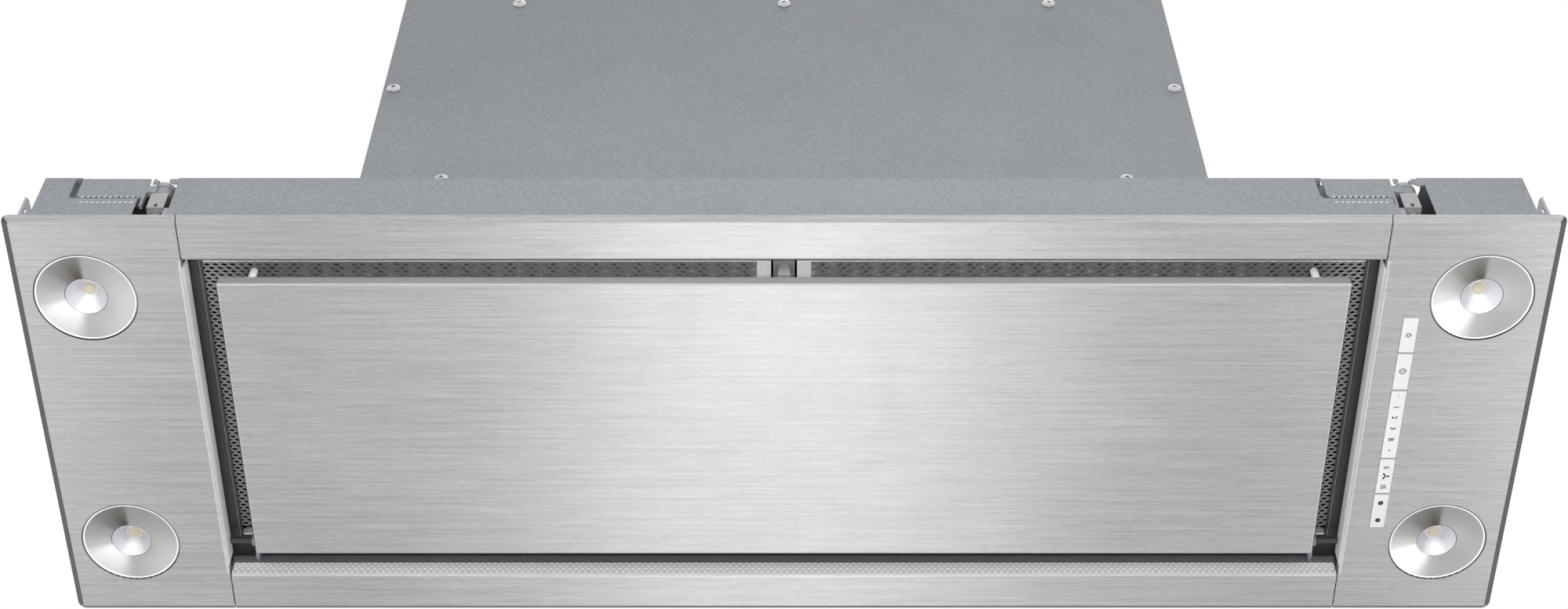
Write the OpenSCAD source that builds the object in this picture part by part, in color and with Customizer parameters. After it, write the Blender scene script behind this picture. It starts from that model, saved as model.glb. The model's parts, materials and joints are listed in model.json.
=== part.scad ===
// Built-in range hood, seen from below: a flush stainless panel with an edge-extraction
// baffle that swings down on rear pins, four spot lamps, a five-key control strip, two
// grease filters, a double-inlet blower in its box, and a duct collar with two damper flaps.
// Millimetres. Origin: centre of the panel's underside. +Z up, -Y towards the cook.

/* [Panel] */
// Width of the visible panel
panel_w = 880; // [876:2:900]
// Depth of the visible panel
panel_d = 293; // [285:1:305]
// Thickness of the stainless sheet
panel_sheet = 1.0; // [0.8:0.1:1.2]
// Width of the bevel round the panel's edge
bevel_w = 3.9; // [3:0.1:4.2]
// Height of the bevel, and so of the panel's edge
bevel_h = 2.4; // [2.2:0.1:3]
// Corner radius of the panel
corner_r = 5; // [4.8:0.1:8]
// Width of the end panels, from the panel's end to the intake opening
end_panel_w = 98; // [97:0.5:102]
// Depth of the strips in front of and behind the intake opening
strip_d = 29.5; // [29:0.25:32]
// Seam between the end panels and the strips
seam = 0.5; // [0.3:0.1:0.8]
// Height of the turned-up wall on the end panels
side_wall_h = 14.5; // [12:0.5:16]
// Height of the turned-up wall on the strips
strip_wall_h = 11; // [9:0.5:13]
// Slit between the ends of the strips' walls and the end panels' walls
wall_slit = 0.8; // [0.5:0.1:1.2]
// Outer bend radius of the turned-up walls
bend_r = 2; // [1.6:0.1:2.4]

/* [Baffle] */
// Gap between the baffle and the end panels
side_gap = 17.5; // [15:0.5:20]
// Gap between the baffle and the strips
end_gap = 16.25; // [15:0.25:18]
// Height of the baffle's folded edge
baffle_h = 7; // [6:0.2:7.4]
// Sheet thickness of the baffle's skin
baffle_sheet = 1.0; // [0.8:0.1:1.2]
// Sheet thickness of the baffle's liner
liner_sheet = 0.8; // [0.6:0.1:1]
// Radius of the baffle's folds
fold_r = 1.4; // [1.3:0.1:1.8]
// Height of the hinge axis over the panel's underside
hinge_z = 12.5; // [12.3:0.1:13]
// Distance of the hinge axis in front of the baffle's rear edge
hinge_back = 0.75; // [0.4:0.05:1]
// Radius of the hinge pins
hinge_pin_r = 2; // [1.5:0.1:2.2]
// Thickness of the hinge ears and brackets
ear_t = 2.3; // [1.5:0.1:3]
// Distance of the hinge ears from the baffle's ends
ear_inset = 6.9; // [5:0.1:9]
// Radius of the studs behind the baffle's front edge
stud_r = 2.4; // [2:0.1:2.8]
// Distance of the studs from the baffle's ends
stud_side = 18.7; // [16:0.5:24]
// Distance of the studs from the baffle's front edge
stud_front = 3.9; // [3.9:0.1:6]

/* [Casing] */
// Overhang of the panel past the tray at the ends
overhang_x = 10; // [9.4:0.2:11]
// Overhang of the panel past the tray at front and rear
overhang_y = 12; // [10:0.5:13]
// Height of the tray's top
tray_top = 60; // [60:0.5:66]
// Sheet thickness of the tray and the carrier
tray_sheet = 1.0; // [0.8:0.1:1.2]
// Distance of the fan box in from the intake opening's ends
fan_box_in = 89.5; // [80:0.5:102]
// Distance of the fan box in from the tray's front and rear
fan_box_back = 17.5; // [15.5:0.5:18.5]
// Height of the fan box's top
fan_box_top = 312; // [311:1:330]
// Sheet thickness of the fan box
fan_box_sheet = 1.0; // [0.8:0.1:1.2]
// Width of the flanges inside the fan box
fan_flange = 12; // [11:0.5:14]
// Height of the front flange at the foot of the fan box
fan_foot = 32; // [30:1:40]
// Distance of the upper cover screws from the fan box's ends
screw_row_in = 76; // [60:1:90]
// Distance of the side cover screws under the fan box's top
screw_side_down = 119; // [100:1:140]
// Distance of the lower cover screws from the fan box's ends
screw_foot_in = 48.5; // [40:0.5:60]
// Height of the lower cover screws over the tray
screw_foot_up = 26; // [22:0.5:30]
// Radius of the cover screws' heads
screw_head_r = 4.5; // [4:0.1:4.8]

/* [Filters] */
// Height of the filters' lower face
filter_z = 21.4; // [21.2:0.1:22.4]
// Thickness of a filter cassette
filter_h = 9; // [8.6:0.2:10]
// Distance of the carrier's window from the opening's ends
window_inset_x = 4.5; // [4:0.5:8]
// Distance of the carrier's window from the opening's front and rear
window_inset_y = 13.5; // [12.5:0.5:14.5]
// How far the filters reach over the carrier's ledge
filter_seat = 4; // [3:0.5:5]
// Width of a filter's inner end bar
end_bar = 8.2; // [8:0.1:9.2]
// Width of the bracket between the filters
bracket_w = 12.4; // [12:0.2:13]
// Gap between the bracket and a filter
bracket_gap = 1.3; // [1:0.1:1.5]
// Pitch of the folds in the mesh pack
pleat = 12; // [9:1:18]
// Thickness of the mesh
mesh_t = 0.6; // [0.5:0.1:0.8]

/* [Lamps] */
// Distance of the lamps' centres from the panel's ends
lamp_inset = 40.4; // [40:0.2:41]
// Distance of the lamps' centres from the panel's front and rear
lamp_end = 55.4; // [50.4:0.5:61.4]
// Outer radius of a lamp's rim
lamp_r = 29.1; // [27:0.1:29.2]
// Gap between the rim and the hole in the panel
lamp_gap = 0.5; // [0.3:0.1:0.8]
// Radius of the inner cone's mouth
cone_mouth_r = 12.2; // [11:0.2:14]
// Radius of the inner cone's top, round the light source
cone_top_r = 4.6; // [4:0.1:6]
// Height that the dish rises to the cone's mouth
dish_h = 1.6; // [1.4:0.1:3]
// Height of the inner cone's top over the panel's underside
cone_top_z = 10; // [8:0.5:11]

/* [Controls] */
// Distance of the control strip from the opening's end
strip_inset = 19; // [18.6:0.2:20]
// Width of the keys
key_w = 8.8; // [8:0.1:9.2]
// Front end of the first key
key_start = -77.6; // [-79:0.2:-76]
// Length of the lamp key
light_key_l = 25.6; // [22:0.2:27]
// Length of the on-off key
power_key_l = 27; // [24:0.2:28]
// Length of the fan-level rocker
level_key_l = 51; // [46:0.5:52]
// Length of the run-on timer key
timer_key_l = 27; // [24:0.2:28]
// Length of the filter-reminder key
filter_key_l = 26.9; // [24:0.1:28]
// Gap between two keys, and round the strip
key_gap = 0.3; // [0.2:0.05:0.5]
// Travel of a key
key_travel = 0.7; // [0.4:0.1:0.8]

/* [Blower] */
// Room between the scroll and the fan box, front to rear
blower_room = 7; // [6:0.5:12]
// Radial depth of the impeller's blades
blade_d = 16; // [12:1:18]
// Width of the impeller
impeller_w = 130; // [100:2:132]
// Number of blades
blade_n = 36; // [24:1:40]
// Thickness of a blade
blade_t = 1.2; // [1:0.1:1.6]
// Wall of the scroll casing
scroll_wall = 2; // [1.6:0.2:2.4]
// Least gap between the impeller and the scroll
scroll_gap = 8; // [6:0.5:9]
// Growth of the scroll's radius from the tongue to the outlet
scroll_growth = 26; // [22:1:27]
// Room between the tray's top and the scroll
scroll_lift = 3; // [2:0.5:7]
// Place of the impeller's axis, front to rear
axis_y = -4; // [-8:1:-2]
// Radius of the motor
motor_r = 44; // [36:1:46]
// Radius of the motor's shaft
shaft_r = 4; // [3:0.5:5]
// Radial running clearance of pins and shafts
running = 0.05; // [0.02:0.01:0.09]
// Radial gap where a pin or a shaft is held fast
press = 0.01; // [0.005:0.005:0.02]

/* [Duct] */
// Outer radius of the duct collar
collar_r = 74.5; // [72:0.5:76]
// Wall of the duct collar
collar_wall = 2; // [1.6:0.2:2.4]
// Height of the duct collar
collar_h = 45; // [40:1:60]
// Distance of the duct collar's axis from the fan box's rear
collar_back = 83; // [82:1:86]
// Thickness of the damper flaps
flap_t = 1.6; // [1.2:0.2:2]
// Radius of the damper's pin
damper_pin_r = 2; // [1.6:0.1:2.4]

/* [Clamps] */
// Distance of the clamp screws outside the opening's end
clamp_side = 18.4; // [18:0.1:19]
// Distance of the clamp screws behind the tray's face
clamp_in = 7.7; // [7.7:0.1:8.4]
// Radius of the clamp screws
clamp_screw_r = 2.5; // [2:0.1:2.8]
// Length of a clamp's arm
arm_l = 47.5; // [40:0.5:49]
// Height of the arm's toothed foot
arm_z = 39.6; // [38:0.2:41]
// Thickness of the arm's sheet
arm_t = 1.5; // [1.2:0.1:1.6]
// Pitch of the teeth on the arm's foot
tooth_pitch = 3.2; // [2.6:0.02:4]

/* [Electrics] */
// Distance of the control box's middle from the tray's end
box_inset = 90; // [86:1:100]
// Place of the control box, front to rear
box_y = 40; // [30:1:50]
// Length of the control box
box_l = 120; // [90:5:130]
// Depth of the control box
box_d = 90; // [70:5:110]
// Height of the control box
box_h = 45; // [40:1:60]
// Wall of the control box
box_wall = 2; // [1.5:0.1:2.4]
// Bore of the cable gland
gland_bore_r = 4.25; // [3:0.25:5]

/* [Hidden] */
$fn = 48;

stainless = "#c2c4c7";
zinc = "#98a0a6";
dark_coat = "#3a3b3d";
grey_plastic = "#6d7073";
aluminium = "#b9bcc0";
eps = 0.01;
clear = 0.3;
slit = 0.15;
reach = 1000;

// Panel
opening_w = panel_w - 2 * end_panel_w;
opening_d = panel_d - 2 * strip_d;
open_x = opening_w / 2;
open_y = opening_d / 2;
slope = bevel_w / bevel_h;
sheet_slant = panel_sheet * sqrt(1 + slope * slope);
frame_edge = bevel_w + 0.6;
seat_rib = 0.2;
seat_inset = 14;
frame_top = bevel_h - seat_rib;
duct_x = open_x + bend_r + clear;
duct_y = open_y + bend_r + clear;

// Baffle
baffle_w = opening_w - 2 * side_gap;
baffle_d = opening_d - 2 * end_gap;
hinge_y = baffle_d / 2 - hinge_back;
hinge_eye_r = hinge_pin_r + 1.5;
ear_x = baffle_w / 2 - ear_inset - ear_t / 2;
bracket_x = baffle_w / 2 + ear_t;
arm_rise = 1.4;
liner_flange = 4;

// Casing
tray_w = panel_w - 2 * overhang_x;
tray_d = panel_d - 2 * overhang_y;
fan_box_w = opening_w - 2 * fan_box_in;
fan_box_d = tray_d - 2 * fan_box_back;
box_open_x = fan_box_w / 2 - fan_flange;
box_open_y = fan_box_d / 2 - fan_flange;
cover_y = -fan_box_d / 2;
screw_edge = 6.5;
screw_z = fan_box_top - screw_edge - 0.5;
screw_row = fan_box_w / 2 - screw_row_in;
screw_side_x = fan_box_w / 2 - screw_edge;
screw_side_z = fan_box_top - screw_side_down;
screw_foot_x = fan_box_w / 2 - screw_foot_in;
screw_foot_z = tray_top + screw_foot_up;
screw_r = 2;
screw_l = 8;
screw_rim = 1;
screw_dome = 1.2;
side_tab = 6.8;
side_tab_z = 40;

// Filters
ledge_t = 1.2;
ledge_z = filter_z - ledge_t;
window_x = open_x - window_inset_x;
window_y = open_y - window_inset_y;
filter_in = bracket_w / 2 + bracket_gap;
filter_out = window_x + filter_seat;
filter_y = window_y - clear;
lip = 0.6;
rim = 1.4;
bracket_sheet = 1.0;
bracket_over = 6.5;
bolt_w = 12;
bolt_h = 3;
bolt_z = filter_z + 2.6;
bolt_back = 3.7;
bolt_reach = 3;
bolt_wall = 1.4;
filter_edge = 0.5;
catch_y = -baffle_d / 2 + 7;
catch_top_w = 5.2;
catch_low_w = 7.2;
catch_z = baffle_h + 7;

// Lamps
lamp_x = panel_w / 2 - lamp_inset;
lamp_wall = 1;
lamp_top = 12.5;
cone_wall = 0.8;
lamp_tab = 3.6;
lamp_tab_w = 8;
lamp_tab_t = 1.2;
led_fins = 10;
led_top = 26;
lamp_y = panel_d / 2 - lamp_end;

// Controls
strip_x = open_x + strip_inset;
key_face = 0.1;
key_flange = 0.9;
key_flange_t = 1;
key_flange_z = bevel_h + clear;
rocker_flange_z = bevel_h + 1;
plunger_top = 7.4;
switch_h = 0.7;
board_z = plunger_top + key_travel + switch_h + 0.2;
board_t = 1.6;
housing_wall = 1.5;
housing_in = key_w / 2 + key_flange + 0.5;
housing_end = 5;
trunnion_r = 1.2;
trunnion_z = 6;
key_l = [light_key_l, power_key_l, level_key_l, timer_key_l, filter_key_l];
strip_end = key_start + light_key_l + power_key_l + level_key_l + timer_key_l + filter_key_l;

// Blower
impeller_r = fan_box_d / 2 - blower_room - scroll_wall - scroll_growth - scroll_gap - axis_y;
scroll_r = impeller_r + scroll_gap;
scroll_in = 2 * (collar_r - collar_wall) + 1;
scroll_w = scroll_in + 2 * scroll_wall;
scroll_top = fan_box_top - fan_box_sheet;
tongue = 100;
low_turn = 270;
axis_z = tray_top + scroll_lift + scroll_wall + scroll_r
  + scroll_growth * (low_turn - tongue) / (360 - tongue);
seam_rib = 3;
inlet_r = impeller_r - blade_d - 2;
disc_t = 3;
ring_t = 2.5;
hub_r = 12;
hub_l = 10;
motor_gap = 2;
motor_boss = 4;
bracket_t = 2;

// Duct
collar_y = fan_box_d / 2 - collar_back;
damper_z = fan_box_top + 20;
knuckle_r = damper_pin_r + 2;
knuckle_gap = 0.6;
flap_r = collar_r - collar_wall - 1.5;
flap_z = damper_z - knuckle_r + 1.2;
knuckle_w = 2 * (flap_r - 6) / 5;
ledge_w = 3;

// Clamps
clamp_x = open_x + clamp_side;
clamp_y = -tray_d / 2 + clamp_in;
arm_top = tray_top - 0.5;
arm_face = clamp_in - clear;
notch_out = 11.5;
notch_in = 8.5;
pocket_depth = 4.8;
pocket_z = arm_z - 1.2;
pocket_end = arm_l + 4;
pocket_r = 3;
hub_puck_r = 7.35;
hub_puck_top = tray_top - 4;
hub_puck_t = 3.5;
arm_eye_r = hub_puck_r - 0.35;
arm_corner = 3.4;
arm_foot_back = 0.9;
arm_eye_z = arm_z + 5.7;
shelf_z = arm_z - 8.8;
plate_top = arm_eye_z - clear;
clamp_plate_w = 9.8;
clamp_plate_y = 6.9;
clamp_back_y = arm_eye_r + clear;
bent_edge = 8;
bent_top = tray_top - 7;
bent_low = shelf_z + 2 * clear;
swing_edge = sqrt(bent_edge * bent_edge + pow(arm_face - arm_t, 2) - clamp_in * clamp_in) - clear;

// Electrics
box_x = -tray_w / 2 + box_inset;
gland_r = 8;
gland_nut_r = 12;
gland_l = 20;

// Shared shapes

module block(x, y, z) {
  translate([x[0], y[0], z[0]]) cube([x[1] - x[0], y[1] - y[0], z[1] - z[0]]);
}

module rounded_rect(w, d, r) {
  square([w - 2 * r, d], center = true);
  square([w, d - 2 * r], center = true);
  for (i = [-1, 1], j = [-1, 1])
    translate([i * (w / 2 - r), j * (d / 2 - r)]) circle(r);
}

// Sections drawn across the part: first axis front to rear, second axis up, spread along X
module along_x(x0, x1) {
  translate([x0, 0, 0]) rotate([90, 0, 90]) linear_extrude(x1 - x0) children();
}

// Sections drawn left to right and up, spread along Y
module along_y(y0, y1) {
  translate([0, y1, 0]) rotate([90, 0, 0]) linear_extrude(y1 - y0) children();
}

module drill_x(x0, x1, y, z, r) {
  translate([x0, y, z]) rotate([0, 90, 0]) cylinder(h = x1 - x0, r = r);
}

module at_lamp(side, end) {
  translate([side * lamp_x, end * lamp_y, 0]) rotate([0, 0, side > 0 ? 0 : 180]) children();
}

module at_lamps() {
  for (side = [-1, 1], end = [-1, 1]) at_lamp(side, end) children();
}

// Front clamps as drawn, and rear clamps as the front ones turned half way round
module at_clamp(side, end) {
  rotate([0, 0, end < 0 ? 0 : 180]) translate([-end * side * clamp_x, clamp_y, 0]) children();
}

// Panel

// Solid inside a rim that widens upwards with the bevel, from height z0 to z1
module bevelled_block(half_w, half_d, r, z0, z1) {
  r0 = r - (bevel_h - z0) * slope;
  r1 = r - (bevel_h - z1) * slope;
  along_x(-half_w + r, half_w - r)
    polygon([[-half_d + r - r0, z0], [half_d - r + r0, z0], [half_d - r + r1, z1],
      [-half_d + r - r1, z1]]);
  along_y(-half_d + r, half_d - r)
    polygon([[-half_w + r - r0, z0], [half_w - r + r0, z0], [half_w - r + r1, z1],
      [-half_w + r - r1, z1]]);
  for (i = [-1, 1], j = [-1, 1])
    translate([i * (half_w - r), j * (half_d - r), z0]) cylinder(h = z1 - z0, r1 = r0, r2 = r1);
}

module pan() {
  difference() {
    bevelled_block(panel_w / 2, panel_d / 2, corner_r, 0, bevel_h);
    bevelled_block(panel_w / 2 - sheet_slant, panel_d / 2 - sheet_slant, corner_r - sheet_slant,
      panel_sheet, bevel_h + eps);
  }
}

// Bent edge: a wall at 0 and its bend into a sheet that lies towards +X
module bent_wall(h, r, t) {
  translate([0, r - eps]) square([t, h - r + eps]);
  intersection() {
    translate([r, r]) difference() {
      circle(r);
      circle(r - t);
    }
    square([r + eps, r]);
  }
}

module key_slot(z0, z1) {
  block([strip_x - key_w / 2 - key_gap, strip_x + key_w / 2 + key_gap],
    [key_start - key_gap / 2, strip_end + key_gap / 2], [z0, z1]);
}

module side_panel_blank() {
  wall_end = open_y - clear;
  difference() {
    pan();
    block([-reach, open_x + seam / 2], [-reach, reach], [-1, bevel_h + 1]);
    block([0, open_x + bend_r], [-wall_end, wall_end], [-1, bevel_h + 1]);
    at_lamps() translate([0, 0, -1]) cylinder(h = bevel_h + 2, r = lamp_r + lamp_gap);
  }
  along_y(-wall_end, wall_end) translate([open_x, 0]) bent_wall(side_wall_h, bend_r, panel_sheet);
}

module side_panel_right() {
  color(stainless) difference() {
    side_panel_blank();
    key_slot(-1, bevel_h + 1);
  }
}

module side_panel_left() {
  color(stainless) mirror([1, 0, 0]) side_panel_blank();
}

module rear_strip() {
  strip_x1 = open_x - seam / 2;
  wall_x = open_x - wall_slit;
  color(stainless) {
    intersection() {
      pan();
      block([-strip_x1, strip_x1], [open_y + bend_r, reach], [-1, bevel_h + 1]);
    }
    along_x(-wall_x, wall_x) translate([open_y, 0]) bent_wall(strip_wall_h, bend_r, panel_sheet);
  }
}

module front_strip() {
  mirror([0, 1, 0]) rear_strip();
}

// Zinc-coated plate that lies in the pan and carries the duct's lower wall round the opening.
// Two low ribs in front of and behind the tray bear against the cabinet.
module mounting_frame() {
  plate_x = panel_w / 2 - frame_edge;
  plate_y = panel_d / 2 - frame_edge;
  color(zinc) difference() {
    union() {
      translate([0, 0, panel_sheet]) linear_extrude(frame_top - panel_sheet)
        rounded_rect(2 * plate_x, 2 * plate_y, corner_r - frame_edge);
      for (turn = [0, 180]) rotate([0, 0, turn]) block([-tray_w / 2 + seat_inset, tray_w / 2 - seat_inset],
        [tray_d / 2 + 2 * clear, plate_y - clear], [panel_sheet + eps, bevel_h]);
      block([-duct_x - tray_sheet, duct_x + tray_sheet], [-duct_y - tray_sheet, duct_y + tray_sheet],
        [panel_sheet + eps, ledge_z]);
    }
    block([-duct_x, duct_x], [-duct_y, duct_y], [0, filter_z]);
    at_lamps() cylinder(h = bevel_h + 1, r = lamp_r + lamp_gap / 2);
    key_slot(0, bevel_h + 1);
  }
}

// Baffle

// Section with two rounded lower corners
module folded_section(half, h, r) {
  translate([-half, r]) square([2 * half, h - r]);
  translate([-half + r, 0]) square([2 * (half - r), r + eps]);
  for (i = [-1, 1]) translate([i * (half - r), r]) circle(r);
}

module folded_block(half_w, half_d, h, r, plan_r) {
  intersection() {
    along_x(-half_w, half_w) folded_section(half_d, h, r);
    along_y(-half_d, half_d) folded_section(half_w, h, r);
    linear_extrude(h) rounded_rect(2 * half_w, 2 * half_d, plan_r);
  }
}

module baffle_skin() {
  inner = fold_r - baffle_sheet;
  color(stainless) difference() {
    folded_block(baffle_w / 2, baffle_d / 2, baffle_h, fold_r, fold_r);
    translate([0, 0, baffle_sheet])
      folded_block(baffle_w / 2 - baffle_sheet, baffle_d / 2 - baffle_sheet, baffle_h, inner, inner);
  }
}

module baffle_liner() {
  half_w = baffle_w / 2 - baffle_sheet;
  half_d = baffle_d / 2 - baffle_sheet;
  corner = fold_r - baffle_sheet + 0.4;
  foot = 12;
  color(zinc) {
    difference() {
      translate([0, 0, baffle_h - liner_flange]) linear_extrude(liner_flange)
        rounded_rect(2 * half_w, 2 * half_d, corner);
      block([-half_w + liner_sheet, half_w - liner_sheet], [-half_d + liner_sheet, half_d - liner_sheet],
        [0, baffle_h - liner_sheet]);
    }
    for (side = [-1, 1]) along_x(side * ear_x - ear_t / 2, side * ear_x + ear_t / 2) difference() {
      union() {
        translate([hinge_y, hinge_z]) circle(hinge_eye_r);
        polygon([[hinge_y - foot, baffle_h - liner_sheet], [half_d - clear, baffle_h - liner_sheet],
          [half_d - clear, baffle_h], [hinge_y + hinge_eye_r - 1, hinge_z - 1],
          [hinge_y, hinge_z + hinge_eye_r], [hinge_y - hinge_eye_r, hinge_z + 1]]);
      }
      translate([hinge_y, hinge_z]) circle(hinge_pin_r + press);
    }
  }
}

module hinge_pins() {
  color(aluminium) for (side = [-1, 1]) {
    x0 = ear_x - ear_t / 2 - 1;
    x1 = open_x - clear;
    drill_x(side > 0 ? x0 : -x1, side > 0 ? x1 : -x0, hinge_y, hinge_z, hinge_pin_r);
  }
}

module hinge_brackets() {
  low = hinge_z + arm_rise;
  color(stainless) for (side = [-1, 1])
    along_x(side * bracket_x - ear_t / 2, side * bracket_x + ear_t / 2) difference() {
      union() {
        translate([hinge_y, hinge_z]) circle(hinge_eye_r);
        polygon([[hinge_y, low], [duct_y, low], [duct_y, ledge_z], [window_y + 1, ledge_z],
          [hinge_y - hinge_eye_r + 0.5, hinge_z + 1.5]]);
      }
      translate([hinge_y, hinge_z]) circle(hinge_pin_r + running);
    }
}

module baffle_studs() {
  top = filter_z - clear;
  color(aluminium) for (side = [-1, 1])
    translate([side * (baffle_w / 2 - stud_side), -baffle_d / 2 + stud_front, baffle_h]) {
      cylinder(h = 1.5, r = stud_r + 0.4);
      cylinder(h = top - baffle_h - stud_r, r = stud_r);
      translate([0, 0, top - baffle_h - stud_r]) sphere(stud_r);
    }
}

// Spring fingers either side of the catch on the bracket between the filters
module catch_clip() {
  finger = catch_low_w / 2 + clear;
  finger_t = 0.8;
  finger_h = 9.5;
  foot = 4;
  near = -2;
  far = 4;
  color(stainless) translate([0, catch_y, baffle_h]) for (side = [0, 1]) mirror([side, 0, 0]) {
    block([0, finger + foot], [near, far], [0, finger_t]);
    block([finger, finger + finger_t], [near, far], [0, finger_h]);
  }
}

// Filters

// Slit across a corner of the carrier, where two of its rails meet
module mitre() {
  run = duct_x + tray_sheet - window_x;
  rise = duct_y + tray_sheet - window_y;
  step = slit * sqrt(1 + rise * rise / run / run);
  linear_extrude(tray_top) polygon([[window_x - run, window_y - rise], [window_x + 2 * run,
    window_y + 2 * rise], [window_x + 2 * run, window_y + 2 * rise + step],
    [window_x - run, window_y - rise + step]]);
}

module filter_carrier() {
  color(dark_coat) difference() {
    block([-duct_x - tray_sheet, duct_x + tray_sheet], [-duct_y - tray_sheet, duct_y + tray_sheet],
      [ledge_z, tray_top - tray_sheet]);
    block([-duct_x, duct_x], [-duct_y, duct_y], [filter_z, tray_top]);
    block([-window_x, window_x], [-window_y, window_y], [0, tray_top]);
    for (i = [0, 1], j = [0, 1]) mirror([i, 0, 0]) mirror([0, j, 0]) mitre();
  }
}

module centre_bracket() {
  half = bracket_w / 2;
  end = window_y + bracket_over;
  lug_top = [-8.2, 6];
  lug_low = [-3.7, 4];
  color(stainless) {
    difference() {
      block([-half, half], [-end, end], [filter_z, filter_z + filter_h]);
      block([-half + bracket_sheet, half - bracket_sheet], [-end - 1, end + 1],
        [filter_z + bracket_sheet, filter_z + filter_h + 1]);
      block([-half - 1, half + 1], [-bolt_w / 2 - clear, bolt_w / 2 + clear],
        [bolt_z - clear, bolt_z + bolt_h + clear]);
    }
    intersection() {
      along_x(-half, half) polygon([[catch_y + lug_top[0], filter_z + eps], [catch_y + lug_low[0], catch_z],
        [catch_y + lug_low[1], catch_z], [catch_y + lug_top[1], filter_z + eps]]);
      along_y(catch_y + 2 * lug_top[0], catch_y + 2 * lug_top[1]) polygon([[-catch_top_w / 2, filter_z + eps],
        [catch_top_w / 2, filter_z + eps], [catch_low_w / 2, catch_z], [-catch_low_w / 2, catch_z]]);
    }
  }
}

module filter_frame_right() {
  grip = bolt_w / 2 + clear;
  pocket_in = filter_in + end_bar - clear;
  color(aluminium) difference() {
    block([filter_in, filter_out], [-filter_y, filter_y], [filter_z, filter_z + filter_h]);
    block([filter_in + end_bar, window_x - filter_edge], [-filter_y + rim, filter_y - rim],
      [filter_z - 1, filter_z + filter_h + 1]);
    block([filter_in + end_bar - eps, filter_out - rim], [-filter_y + lip, filter_y - lip],
      [filter_z + lip, filter_z + filter_h - lip]);
    block([0, pocket_in], [-grip, grip], [bolt_z - clear, bolt_z + bolt_h + clear]);
    block([filter_in + bolt_wall, pocket_in], [-grip, grip], [filter_z - 1, bolt_z]);
  }
}

module filter_frame_left() {
  mirror([1, 0, 0]) filter_frame_right();
}

module filter_mesh_right() {
  x0 = filter_in + end_bar + clear;
  x1 = filter_out - rim - clear;
  low = filter_z + lip;
  high = filter_z + filter_h - lip;
  folds = floor((x1 - x0) / pleat);
  step = (x1 - x0) / folds;
  z0 = low + mesh_t;
  z1 = high - mesh_t;
  lower = [for (i = [0:folds - 1], k = [0, 0.5]) [x0 + (i + k) * step, k == 0 ? z0 : z1 - mesh_t]];
  upper = [for (p = lower) [p[0], p[1] + mesh_t]];
  last = [[x1, z0], [x1, z0 + mesh_t]];
  pack = concat(lower, last, [for (i = [len(upper) - 1:-1:0]) upper[i]]);
  color(aluminium) {
    along_y(-filter_y + rim, filter_y - rim) polygon(pack);
    for (z = [low, high - mesh_t])
      block([x0, x1], [-filter_y + lip + clear, filter_y - lip - clear], [z, z + mesh_t]);
  }
}

module filter_mesh_left() {
  mirror([1, 0, 0]) filter_mesh_right();
}

module filter_latch_right() {
  tip = bolt_reach;
  back = filter_in + bolt_back;
  color(grey_plastic) {
    block([tip, back], [-bolt_w / 2, bolt_w / 2], [bolt_z, bolt_z + bolt_h]);
    block([filter_in + bolt_wall + clear, back], [-bolt_w / 2, bolt_w / 2], [filter_z + clear, bolt_z + eps]);
  }
}

module filter_latch_left() {
  mirror([1, 0, 0]) filter_latch_right();
}

// Lamps

module lamp_reflector() {
  dish_t = 1;
  color(aluminium) {
    rotate_extrude() polygon([[lamp_r, 0], [lamp_r, lamp_top], [lamp_r - lamp_wall, lamp_top],
      [lamp_r - lamp_wall, dish_t + 0.4], [cone_mouth_r, dish_h + dish_t], [cone_mouth_r, dish_h],
      [lamp_r - lamp_wall, 0.4], [lamp_r - lamp_wall + 0.2, 0]]);
    for (turn = [120, 180, 240]) rotate([0, 0, turn])
      block([lamp_r - lamp_wall / 2, lamp_r + lamp_tab], [-lamp_tab_w / 2, lamp_tab_w / 2],
        [frame_top, frame_top + lamp_tab_t]);
  }
}

module lamp_cone() {
  seat = dish_h + 1;
  color("#d8d8e0") rotate_extrude() polygon([[cone_mouth_r - clear, dish_h - 0.3],
    [cone_mouth_r - clear, seat], [cone_mouth_r + 2, seat], [cone_mouth_r + 2, seat + cone_wall],
    [cone_mouth_r - cone_wall, seat + cone_wall], [cone_top_r + cone_wall, cone_top_z],
    [cone_top_r, cone_top_z], [cone_mouth_r - clear - cone_wall, dish_h - 0.3]]);
}

module lamp_reflector_front_left() { at_lamp(-1, -1) lamp_reflector(); }
module lamp_reflector_front_right() { at_lamp(1, -1) lamp_reflector(); }
module lamp_reflector_rear_left() { at_lamp(-1, 1) lamp_reflector(); }
module lamp_reflector_rear_right() { at_lamp(1, 1) lamp_reflector(); }
module lamp_cone_front_left() { at_lamp(-1, -1) lamp_cone(); }
module lamp_cone_front_right() { at_lamp(1, -1) lamp_cone(); }
module lamp_cone_rear_left() { at_lamp(-1, 1) lamp_cone(); }
module lamp_cone_rear_right() { at_lamp(1, 1) lamp_cone(); }

module led_modules() {
  fin_w = 1.6;
  base_t = 3;
  base_r = lamp_r - 0.2;
  color("#e8d9a8") at_lamps() {
    translate([0, 0, cone_top_z]) cylinder(h = lamp_top - cone_top_z + eps, r = cone_top_r + cone_wall);
    translate([0, 0, lamp_top]) cylinder(h = base_t, r = base_r);
    translate([0, 0, lamp_top + base_t - eps]) intersection() {
      cylinder(h = led_top - lamp_top - base_t, r = base_r - 2);
      for (i = [0:led_fins - 1]) {
        x = (i - (led_fins - 1) / 2) * 2 * base_r / led_fins;
        block([x - fin_w / 2, x + fin_w / 2], [-base_r, base_r], [0, led_top]);
      }
    }
  }
}

// Controls

function key_y0(i) = i == 0 ? key_start : key_y0(i - 1) + key_l[i - 1];

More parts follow.
